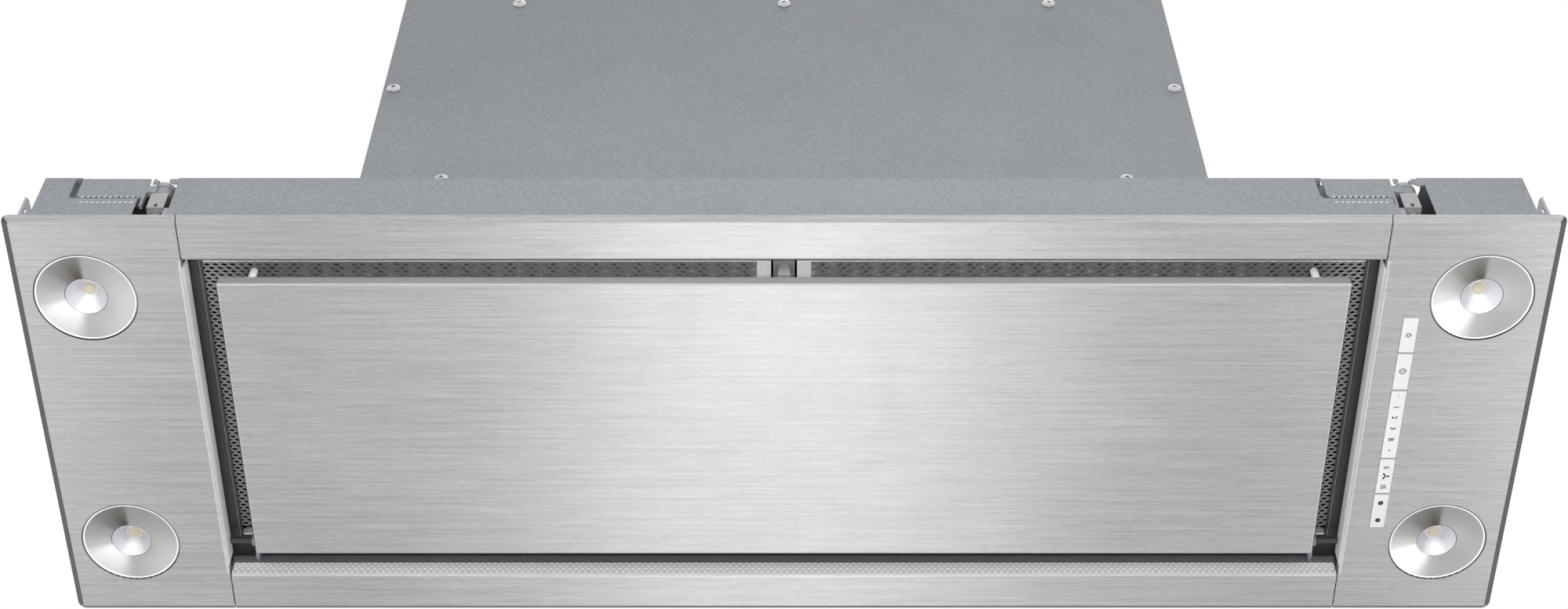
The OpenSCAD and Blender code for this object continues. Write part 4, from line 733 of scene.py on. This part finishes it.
def strand_cell(sizes, coarse, lean):
    """One period of two neighbouring strands: closed tubes of triangular section."""
    pitch = sizes.pitch_x * coarse
    half = sizes.strand * coarse / 2
    wave = sizes.wave * coarse
    slant = lean * sizes.slant * coarse
    shape = bmesh.new()
    section = [(-half, 0.0), (half, sizes.tilt * 0.85), (half - 0.22 * MM, sizes.tilt + 0.1 * MM)]
    corners = [shape.verts.new((0.0, y - wave - slant / 2, z)) for y, z in section]
    loop = [shape.edges.new((corners[i], corners[(i + 1) % 3])) for i in range(3)]
    for along, across in ((0.3, slant), (0.2, 2 * wave - slant), (0.3, slant), (0.2, -2 * wave - slant)):
        grown, _ = grow(shape, bmesh.ops.extrude_edge_only, (pitch * along, across, 0.0), edges=loop)
        loop = [g for g in grown if isinstance(g, bmesh.types.BMEdge)]
    grow(shape, bmesh.ops.duplicate, (pitch / 2, sizes.pitch_y * coarse / 2, 0.0),
         geom=shape.verts[:] + shape.edges[:] + shape.faces[:])
    return shape


def lay_out(piece, axis, pitch, count):
    rows = piece.modifiers.new("rows_" + "xyz"[axis], "ARRAY")
    rows.use_relative_offset = False
    rows.use_constant_offset = True
    rows.constant_offset_displace = [pitch if i == axis else 0.0 for i in range(3)]
    rows.count = count
    rows.use_merge_vertices = axis == 0
    rows.merge_threshold = 0.00005


class HOOD_OT_filters(bpy.types.Operator):
    """Expanded metal on both faces of each filter, with a folded pack between them"""
    bl_idname = "hood.filters"
    bl_label = "Filters"

    def execute(self, context):
        sizes = context.scene.hood_filter
        for side in SIDES:
            low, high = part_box("filter_mesh_" + side)
            for face, coarse in (("lower", 1.0), ("upper", 2.0)):
                pitch_x = sizes.pitch_x * coarse
                pitch_y = sizes.pitch_y * coarse
                across = int((high.x - low.x - pitch_x / 2) / pitch_x)
                deep = int((high.y - low.y - sizes.strand * coarse) / pitch_y)
                shape = strand_cell(sizes, coarse, 1 if side == "left" else -1)
                height = low.z if face == "lower" else high.z - sizes.tilt - 0.12 * MM
                shift(shape, (low.x + (high.x - low.x - pitch_x * (across + 0.5)) / 2,
                              low.y + sizes.strand * coarse, height))
                nodes = ["filter_mesh_" + side] if face == "lower" else []
                piece = put("mesh_%s_%s" % (face, side), shape, "expanded_metal", "hood",
                            nodes, 20.0)
                lay_out(piece, 0, pitch_x, across)
                lay_out(piece, 1, pitch_y, deep)
            self.folded_pack(side, low, high, sizes)
        self.lips(sizes)
        return {"FINISHED"}

    def lips(self, sizes):
        """Dark lips along the outer edge of the window, each with a thin lighter bar as a painted highlight
        on its edge.
        """
        low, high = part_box("filter_frame_right")
        edge = high.x - sizes.seat
        for name, look, width, height, inset, drop in (
                ("window_lips", "dark_coated_sheet", sizes.lip, 0.4 * MM, sizes.lip / 2, 0.5 * MM),
                ("window_edge_highlights", "galvanised_sheet", 0.35 * MM, 0.2 * MM, 0.2 * MM, 0.8 * MM)):
            shape = bmesh.new()
            for side in (-1, 1):
                bar(shape, width, 2 * high.y, height, (side * (edge - inset), 0.0, low.z - drop))
            put(name, shape, look, "hood")

    def folded_pack(self, side, low, high, sizes):
        shape = bmesh.new()
        folds = 2 * int((high.x - low.x) / sizes.fold)
        step = (high.x - low.x) / folds
        bottom, top = low.z + 1.0 * MM, high.z - 1.0 * MM
        moved = [shape.verts.new((low.x, low.y, bottom))]
        for i in range(folds):
            _, moved = grow(shape, bmesh.ops.extrude_vert_indiv,
                            (step, 0.0, (top - bottom) * (1 if i % 2 == 0 else -1)), verts=moved)
        grow(shape, bmesh.ops.extrude_edge_only, (0.0, high.y - low.y, 0.0), edges=shape.edges[:])
        piece = put("pack_" + side, shape, "packed_mesh", "hood", smooth=20.0)
        wall = piece.modifiers.new("layers", "SOLIDIFY")
        wall.thickness = 0.5 * MM
        wall.offset = 0.0


def bar(shape, width, depth, height, place, turn=0.0):
    made = bmesh.ops.create_cube(shape, size=1.0)["verts"]
    bmesh.ops.scale(shape, vec=(width, depth, height), verts=made)
    bmesh.ops.rotate(shape, cent=(0, 0, 0), matrix=Matrix.Rotation(turn, 3, "Z"), verts=made)
    shift(shape, place, made)
    return made


def disc(shape, radius, place, steps=28):
    """A printed disc."""
    shift(shape, place, bmesh.ops.create_cone(shape, cap_ends=True, segments=steps, radius1=radius,
                                              radius2=radius, depth=SIGN_T)["verts"])


def hoop(shape, radius, line, place):
    """A printed circle."""
    before = set(shape.verts)
    spin(shape, [(radius + out * line / 2, up * SIGN_T / 2)
                 for out, up in ((-1, -1), (1, -1), (1, 1), (-1, 1))], 36)
    shift(shape, place, [v for v in shape.verts if v not in before])


def seen_mesh(holder):
    """The mesh that an object shows with its modifiers; the object goes."""
    bpy.context.view_layer.update()
    mesh = bpy.data.meshes.new_from_object(holder.evaluated_get(bpy.context.evaluated_depsgraph_get()))
    bpy.data.objects.remove(holder)
    return mesh


# Thickness of the print, its share below a key's face, and the height of a capital per size of the font
SIGN_T = 0.06 * MM
SIGN_OUT = 0.03 * MM
CAPITAL = 0.72


def lettering(shape, body, cap, place, spacing=1.0):
    """Adds a figure, read along +Y with its head towards +X, as seen from below."""
    curve = bpy.data.curves.new("figure", "FONT")
    curve.body = body
    curve.size = cap / CAPITAL
    curve.space_character = spacing
    curve.align_x = "CENTER"
    curve.resolution_u = 3
    curve.extrude = SIGN_T / 2
    curve.offset = 0.1 * MM
    mesh = seen_mesh(linked("figure", curve))
    turn = Matrix(((0, 1, 0, -cap / 2), (1, 0, 0, 0), (0, 0, -1, 0), (0, 0, 0, 1)))
    mesh.transform(Matrix.Translation(place) @ turn)
    shape.from_mesh(mesh)
    bpy.data.curves.remove(curve)
    bpy.data.meshes.remove(mesh)


class HOOD_OT_signs(bpy.types.Operator):
    """Plain figures and symbols printed on the five keys"""
    bl_idname = "hood.signs"
    bl_label = "Key signs"

    # Places along the strip in mm
    lamp_y = -64.9
    power_y = -38.9
    minus_y = -20.6
    plus_y = 19.8
    fan_y = 39.5
    levels_y = {"1": -12.5, "2": -4.9, "3": 3.2, "B": 11.5}
    minutes_y = {"5": 32.9, "15": 47.4}
    dots_y = (60.2, 73.7)

    def execute(self, context):
        sizes = context.scene.hood_signs
        low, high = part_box("light_key")
        self.strip_x = (low.x + high.x) / 2
        self.strip_w = high.x - low.x
        self.face = low.z + SIGN_T / 2 - SIGN_OUT
        for name, body, draw in (("lamp", "light_key", self.lamp), ("power", "power_key", self.power),
                                 ("levels", "level_rocker", self.levels),
                                 ("timer", "timer_key", self.timer),
                                 ("filter", "filter_key", self.filter)):
            shape = bmesh.new()
            draw(shape, sizes)
            put("sign_" + name, shape, "key_ink", body, smooth=30.0)
            self.outline("key_gap_shade_" + name, body, sizes)
        shape = bmesh.new()
        self.line(shape, self.minus_y, sizes.cap * 0.7, sizes.line, math.pi / 2)
        self.line(shape, self.plus_y, sizes.cap * 0.6, sizes.line, math.pi / 2)
        self.line(shape, self.plus_y, sizes.cap * 0.6, sizes.line, 0.0)
        put("sign_plus_minus", shape, "pale_ink", "level_rocker", smooth=30.0)
        return {"FINISHED"}

    def outline(self, name, body, sizes):
        """Soft grey line round a key, painted shade of the gap round it."""
        low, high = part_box(body)
        wide = sizes.edge
        shape = bmesh.new()
        for y in (low.y + wide / 2, high.y - wide / 2):
            bar(shape, self.strip_w, wide, SIGN_T, (self.strip_x, y, self.face))
        for side in (-1, 1):
            x = self.strip_x + side * (self.strip_w / 2 - wide / 4)
            bar(shape, wide / 2, high.y - low.y - 2 * wide, SIGN_T, (x, (low.y + high.y) / 2, self.face))
        put(name, shape, "pale_ink", body, smooth=30.0)

    def at(self, y, x=0.0):
        return Vector((self.strip_x + x, y * MM, self.face))

    def line(self, shape, y, long, wide, turn, x=0.0):
        bar(shape, long, wide, SIGN_T, self.at(y, x), turn)

    def lamp(self, shape, sizes):
        hoop(shape, 1.0 * MM, sizes.line, self.at(self.lamp_y))
        disc(shape, 0.62 * MM, self.at(self.lamp_y, 1.55 * MM), 3)
        for turn in (75, 110, 145, 180, 215, 250, 285):
            spoke = math.radians(turn)
            self.line(shape, self.lamp_y + math.sin(spoke) * 1.75, 0.7 * MM, 0.22 * MM, spoke,
                      math.cos(spoke) * 1.75 * MM)

    def power(self, shape, sizes):
        hoop(shape, 1.75 * MM, sizes.line, self.at(self.power_y))
        self.line(shape, self.power_y, 2.1 * MM, sizes.line, 0.0)

    def levels(self, shape, sizes):
        for figure, y in self.levels_y.items():
            lettering(shape, figure, sizes.cap, self.at(y))

    def timer(self, shape, sizes):
        for minutes, y in self.minutes_y.items():
            lettering(shape, minutes, sizes.cap, self.at(y), 1.0 if minutes == "5" else 0.8)
        for turn in (0, 120, 240):
            spoke = math.radians(turn)
            out_x, out_y = math.cos(spoke), math.sin(spoke)
            for reach, radius in ((0.8, 0.42), (1.4, 0.52), (2.0, 0.62)):
                disc(shape, radius * MM, self.at(self.fan_y + out_y * reach, out_x * reach * MM), 16)
            self.line(shape, self.fan_y + out_y, 2.2 * MM, 0.7 * MM, spoke, out_x * MM)

    def filter(self, shape, sizes):
        for y in self.dots_y:
            disc(shape, sizes.dot_r, self.at(y))


def screw_head(sizes):
    """Pan head with a cross recess, its seat at 0 and its top towards +Z."""
    r, h = sizes.head_r, sizes.head_h
    shape = bmesh.new()
    spin(shape, [(0.0, h), (r * 0.35, h * 0.985), (r * 0.62, h * 0.9), (r * 0.82, h * 0.72),
                 (r * 0.95, h * 0.45), (r, h * 0.2), (r, 0.0), (0.0, 0.0)], 40, closed=False)
    blank = linked("head", to_mesh("head", shape))
    shape = bmesh.new()
    for turn in (0.0, math.pi / 2):
        for vert in bar(shape, sizes.cross, sizes.cross * 0.24, h, (0.0, 0.0, h * 0.98), turn):
            if vert.co.z < h:
                vert.co.x *= 0.55
                vert.co.y *= 0.55
    cutter = linked("tool", to_mesh("tool", shape))
    cut = blank.modifiers.new("recess", "BOOLEAN")
    cut.operation = "DIFFERENCE"
    cut.solver = "EXACT"
    cut.use_self = True
    cut.object = cutter
    mesh = seen_mesh(blank)
    bpy.data.objects.remove(cutter)
    return mesh


def stand_screws(shape, head, places, towards, size=1.0):
    """Copies the head to each place, turned so that its top looks along a direction."""
    turn = Vector((0, 0, 1)).rotation_difference(Vector(towards)).to_matrix().to_4x4()
    for index, place in enumerate(places):
        copy = head.copy()
        spin_by = Matrix.Rotation(math.radians(17 + 47 * index), 4, "Z")
        copy.transform(Matrix.Translation(place) @ turn @ spin_by @ Matrix.Scale(size, 4))
        shape.from_mesh(copy)
        bpy.data.meshes.remove(copy)


class HOOD_OT_teeth(bpy.types.Operator):
    """Thin bright strokes as painted highlights on the front clamps' arm teeth, dark bars between them as
    painted shade, and a row of bright strokes on the tray under them
    """
    bl_idname = "hood.teeth"
    bl_label = "Clamp teeth"

    def execute(self, context):
        sizes = context.scene.hood_clamp
        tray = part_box("tray")[0].y
        for side in SIDES:
            low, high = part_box("clamp_arm_front_" + side)
            first = high.x - sizes.reach
            arm = Vector((first, low.y, low.z + sizes.edge))
            gap = arm + Vector((sizes.pitch / 2 + 0.2 * MM, 0.0, -0.45 * MM))
            tray_row = Vector((first + 0.5 * MM, tray, low.z + sizes.press))
            # Painted highlights on the arm's teeth, painted shade between them, and bright strokes on the
            # tray
            for name, body, place, look, share_of in (
                    ("arm_teeth_", "clamp_front_" + side, arm, "filter_aluminium", 1.0),
                    ("arm_gap_shade_", "clamp_front_" + side, gap, "dark_coated_sheet", 0.45),
                    ("tray_teeth_", "hood", tray_row, "filter_aluminium", 0.9)):
                self.row(name + side, body, place, look, sizes, share_of)
        return {"FINISHED"}

    def row(self, name, body, place, look, sizes, share_of):
        shape = bmesh.new()
        slant = Matrix.Rotation(math.radians(-22), 3, "Y")
        for index in range(sizes.count):
            made = bar(shape, sizes.long * share_of, 0.06 * MM, sizes.high, (0.0, 0.0, 0.0))
            bmesh.ops.rotate(shape, cent=(0, 0, 0), matrix=slant, verts=made)
            shift(shape, place + Vector((sizes.pitch * index, 0.0, 0.0)), made)
        put(name, shape, look, body)


class HOOD_OT_screws(bpy.types.Operator):
    """Cross-head screws of the fan box's cover and the control box's lid, and rivets of the angles"""
    bl_idname = "hood.screws"
    bl_label = "Screws"

    # Places of the cover's screws: distance from its side edges, and from its top or its bottom
    top_row = (76 * MM, 7 * MM)
    sides = (6.5 * MM, 119 * MM)
    low_row = (48.5 * MM, 26 * MM)
    lid_inset = 7 * MM

    def execute(self, context):
        head = screw_head(context.scene.hood_screw)
        low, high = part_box("fan_box_cover")
        inset, drop = self.top_row
        places = [Vector((x, low.y, high.z - drop)) for x in (inset - high.x, 0.0, high.x - inset)]
        for side in (-1, 1):
            for inset, z in ((self.sides[0], high.z - self.sides[1]),
                             (self.low_row[0], low.z + self.low_row[1])):
                places.append(Vector((side * (high.x - inset), low.y, z)))
        shape = bmesh.new()
        stand_screws(shape, head, places, (0, -1, 0))
        put("cover_screw_heads", shape, "bright_steel", "hood", ["cover_screws"])
        low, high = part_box("control_box_lid")
        inset = self.lid_inset
        shape = bmesh.new()
        stand_screws(shape, head, [Vector((x, y, high.z)) for x in (low.x + inset, high.x - inset)
                                   for y in (low.y + inset, high.y - inset)], (0, 0, 1), 0.7)
        put("lid_screws", shape, "bright_steel", "hood")
        self.rivets()
        return {"FINISHED"}

    def rivets(self):
        """Blind rivets through the angles, into the fan box and into the tray."""
        low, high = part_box("corner_brackets")
        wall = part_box("fan_box")[1].x
        button = bmesh.new()
        spin(button, [(0.0, 1.1 * MM), (0.8 * MM, 1.05 * MM), (1.7 * MM, 0.8 * MM), (2.4 * MM, 0.35 * MM),
                      (2.6 * MM, 0.0), (0.0, 0.0)], 24, closed=False)
        rivet = to_mesh("rivet", button)
        shape = bmesh.new()
        for side in (-1, 1):
            for end in (-1, 1):
                for step in (-8 * MM, 8 * MM):
                    y = end * (high.y - 15 * MM) + step
                    for out, up, towards in ((1.5 * MM, 9 * MM, (side, 0, 0)),
                                             (9 * MM, 1.5 * MM, (0, 0, 1))):
                        stand_screws(shape, rivet, [Vector((side * (wall + out), y, low.z + up))], towards)
        put("bracket_rivets", shape, "bright_steel", "hood")


# Looks of slots and of single nodes whose name isn't their slot's
SLOT_LOOKS = {"filter_mesh": "expanded_metal", "reflector_aluminium": "filter_aluminium",
              "lamp_lens": "lamp_back", "led_heat_sink": "cast_aluminium"}
NODE_LOOKS = {"clamp_brackets": "dull_steel", "centre_bracket": "dull_steel",
              # The hinge pins get the near-black as painted shade
              "hinge_pins": "dark_coated_sheet", "hinge_brackets": "galvanised_sheet",
              **{"clamp_arm_" + place: "galvanised_sheet" for place in LAMPS}}


class HOOD_OT_sheets(bpy.types.Operator):
    """Finishes of the CAD nodes that keep their own shape"""
    bl_idname = "hood.sheets"
    bl_label = "Sheets and mouldings"

    def execute(self, context):
        for entry in frame["record"]["subparts"]:
            node = frame["nodes"][entry["node"]]
            slot = entry["material_slot"]
            material = finish(NODE_LOOKS.get(entry["node"], SLOT_LOOKS.get(slot, slot)))
            if not node.material_slots:
                node.data.materials.append(material)
            for held in node.material_slots:
                held.material = material
        return {"FINISHED"}


# Studio


def light(name, place, aim, width, depth, brightness):
    """An area light; brightness 1 is as bright as white."""
    data = bpy.data.lights.new(name, "AREA")
    data.shape = "RECTANGLE"
    data.size = width
    data.size_y = depth
    data.energy = brightness * math.pi * width * depth
    lamp = linked(name, data)
    lamp.location = place
    lamp.rotation_mode = "QUATERNION"
    lamp.rotation_quaternion = (Vector(aim) - Vector(place)).to_track_quat("-Z", "Y")
    lamp.visible_camera = False
    return lamp


# Height of the lights under the gaps, and each one's place, aim, width, depth and share of the brightness
GAP_Z = -0.1
GAP_LIGHTS = (((0.0, -0.30, -0.15), (0.0, -0.13, 0.03), 1.2, 0.05, 2.1),
              ((0.0, -0.175, GAP_Z), (0.0, -0.105, 0.01), 0.66, 0.04, 1.15),
              ((0.0, 0.02, GAP_Z), (0.0, 0.11, 0.01), 0.66, 0.04, 0.85),
              ((-0.25, 0.0, GAP_Z), (-0.335, 0.0, 0.01), 0.04, 0.22, 0.65),
              ((0.25, 0.0, GAP_Z), (0.335, 0.0, 0.01), 0.04, 0.22, 0.65))


class HOOD_OT_studio(bpy.types.Operator):
    """Pale floor, soft lights, white background and the camera below the hood's front"""
    bl_idname = "hood.studio"
    bl_label = "Studio"

    def execute(self, context):
        studio = context.scene.hood_studio
        shape = bmesh.new()
        bmesh.ops.create_grid(shape, x_segments=1, y_segments=1, size=6.0)
        shift(shape, (0.0, 0.0, studio.floor_z))
        floor_mesh = bpy.data.meshes.new("floor")
        shape.to_mesh(floor_mesh)
        shape.free()
        floor = linked("floor", floor_mesh)
        floor_mesh.materials.append(finish("pale_floor"))
        self.world(context, studio)
        self.camera(context, studio)
        height = studio.floor_z + 0.05
        for name, x, y, width, depth, brightness in (
                ("under_light", 0.0, 0.15, 4.4, 2.6, studio.under),
                ("band_light", 0.0, 0.7, 0.5, 1.3, studio.band),
                ("side_light", -1.5, 0.7, 1.0, 1.6, studio.sides),
                ("side_light", 1.5, 0.7, 1.0, 1.6, studio.sides * 1.2)):
            light(name, (x, y, height), (x, y, 0.0), width, depth, brightness)
        light("front_light", (0.1, -0.75, -0.45), (0.0, -0.13, 0.05), 1.6, 0.4, studio.front)
        for place, aim, width, depth, share_of in GAP_LIGHTS:
            lamp = light("gap_light", place, aim, width, depth, studio.gaps * share_of)
            lamp.visible_glossy = False
        light("overhead_light", (0.4, 0.3, 2.6), (0.0, 0.0, 0.2), 2.4, 2.4, studio.over)
        return {"FINISHED"}

    def world(self, context, studio):
        """Pale room light on the object, and white to the camera and to mirror rays."""
        world = bpy.data.worlds.new("room")
        context.scene.world = world
        world.use_nodes = True
        tree = world.node_tree
        tree.nodes.clear()
        path = tree.nodes.new("ShaderNodeLightPath").outputs
        seen = maths(tree, "ADD", path["Is Camera Ray"], path["Is Glossy Ray"])
        seen = maths(tree, "ADD", seen, path["Is Transmission Ray"], clamp=True)
        room, white = [add(tree, "ShaderNodeBackground", Color=(1.0, 1.0, 1.0), Strength=strength).outputs[0]
                       for strength in (studio.room, 1.0)]
        mixed = add(tree, "ShaderNodeMixShader", None, seen, room, white)
        out = tree.nodes.new("ShaderNodeOutputWorld")
        tree.links.new(mixed.outputs[0], out.inputs["Surface"])

    def camera(self, context, studio):
        data = bpy.data.cameras.new("camera")
        data.sensor_fit = "HORIZONTAL"
        data.sensor_width = 36.0
        data.lens = studio.lens
        data.shift_y = studio.shift
        data.clip_end = 50.0
        camera = linked("camera", data)
        camera.location = (0.0, studio.camera_y, studio.camera_z)
        camera.rotation_euler = (studio.camera_pitch, 0.0, 0.0)
        context.scene.camera = camera
        context.scene.view_settings.view_transform = "Standard"


class HOOD_PT_sidebar(bpy.types.Panel):
    """Builds the hood's pieces and holds their colours and sizes"""
    bl_idname = "HOOD_PT_sidebar"
    bl_label = "Range hood"
    bl_space_type = "VIEW_3D"
    bl_region_type = "UI"
    bl_category = "Hood"

    def draw(self, context):
        for step in STEPS:
            self.layout.operator(step.bl_idname)
        for name, group in GROUPS.items():
            held = getattr(context.scene, name)
            box = self.layout.box()
            for key in group.__annotations__:
                box.prop(held, key)


STEPS = [HOOD_OT_studio, HOOD_OT_sheets, HOOD_OT_lamps, HOOD_OT_filters, HOOD_OT_signs, HOOD_OT_teeth,
         HOOD_OT_screws]
GROUPS = {"hood_finish": HoodFinish, "hood_lamp": HoodLamp, "hood_filter": HoodFilter,
          "hood_signs": HoodSigns, "hood_clamp": HoodClamp, "hood_screw": HoodScrew,
          "hood_studio": HoodStudio}


def register():
    for name, group in GROUPS.items():
        bpy.utils.register_class(group)
        setattr(bpy.types.Scene, name, bpy.props.PointerProperty(type=group))
    for step in STEPS:
        bpy.utils.register_class(step)
    bpy.utils.register_class(HOOD_PT_sidebar)


def unregister():
    bpy.utils.unregister_class(HOOD_PT_sidebar)
    for step in reversed(STEPS):
        bpy.utils.unregister_class(step)
    for name, group in GROUPS.items():
        delattr(bpy.types.Scene, name)
        bpy.utils.unregister_class(group)


def main():
    register()
    bpy.ops.hood.studio()
    bpy.ops.hood.sheets()
    bpy.ops.hood.lamps()
    bpy.ops.hood.filters()
    bpy.ops.hood.signs()
    bpy.ops.hood.teeth()
    bpy.ops.hood.screws()


if __name__ == "__main__":
    main()
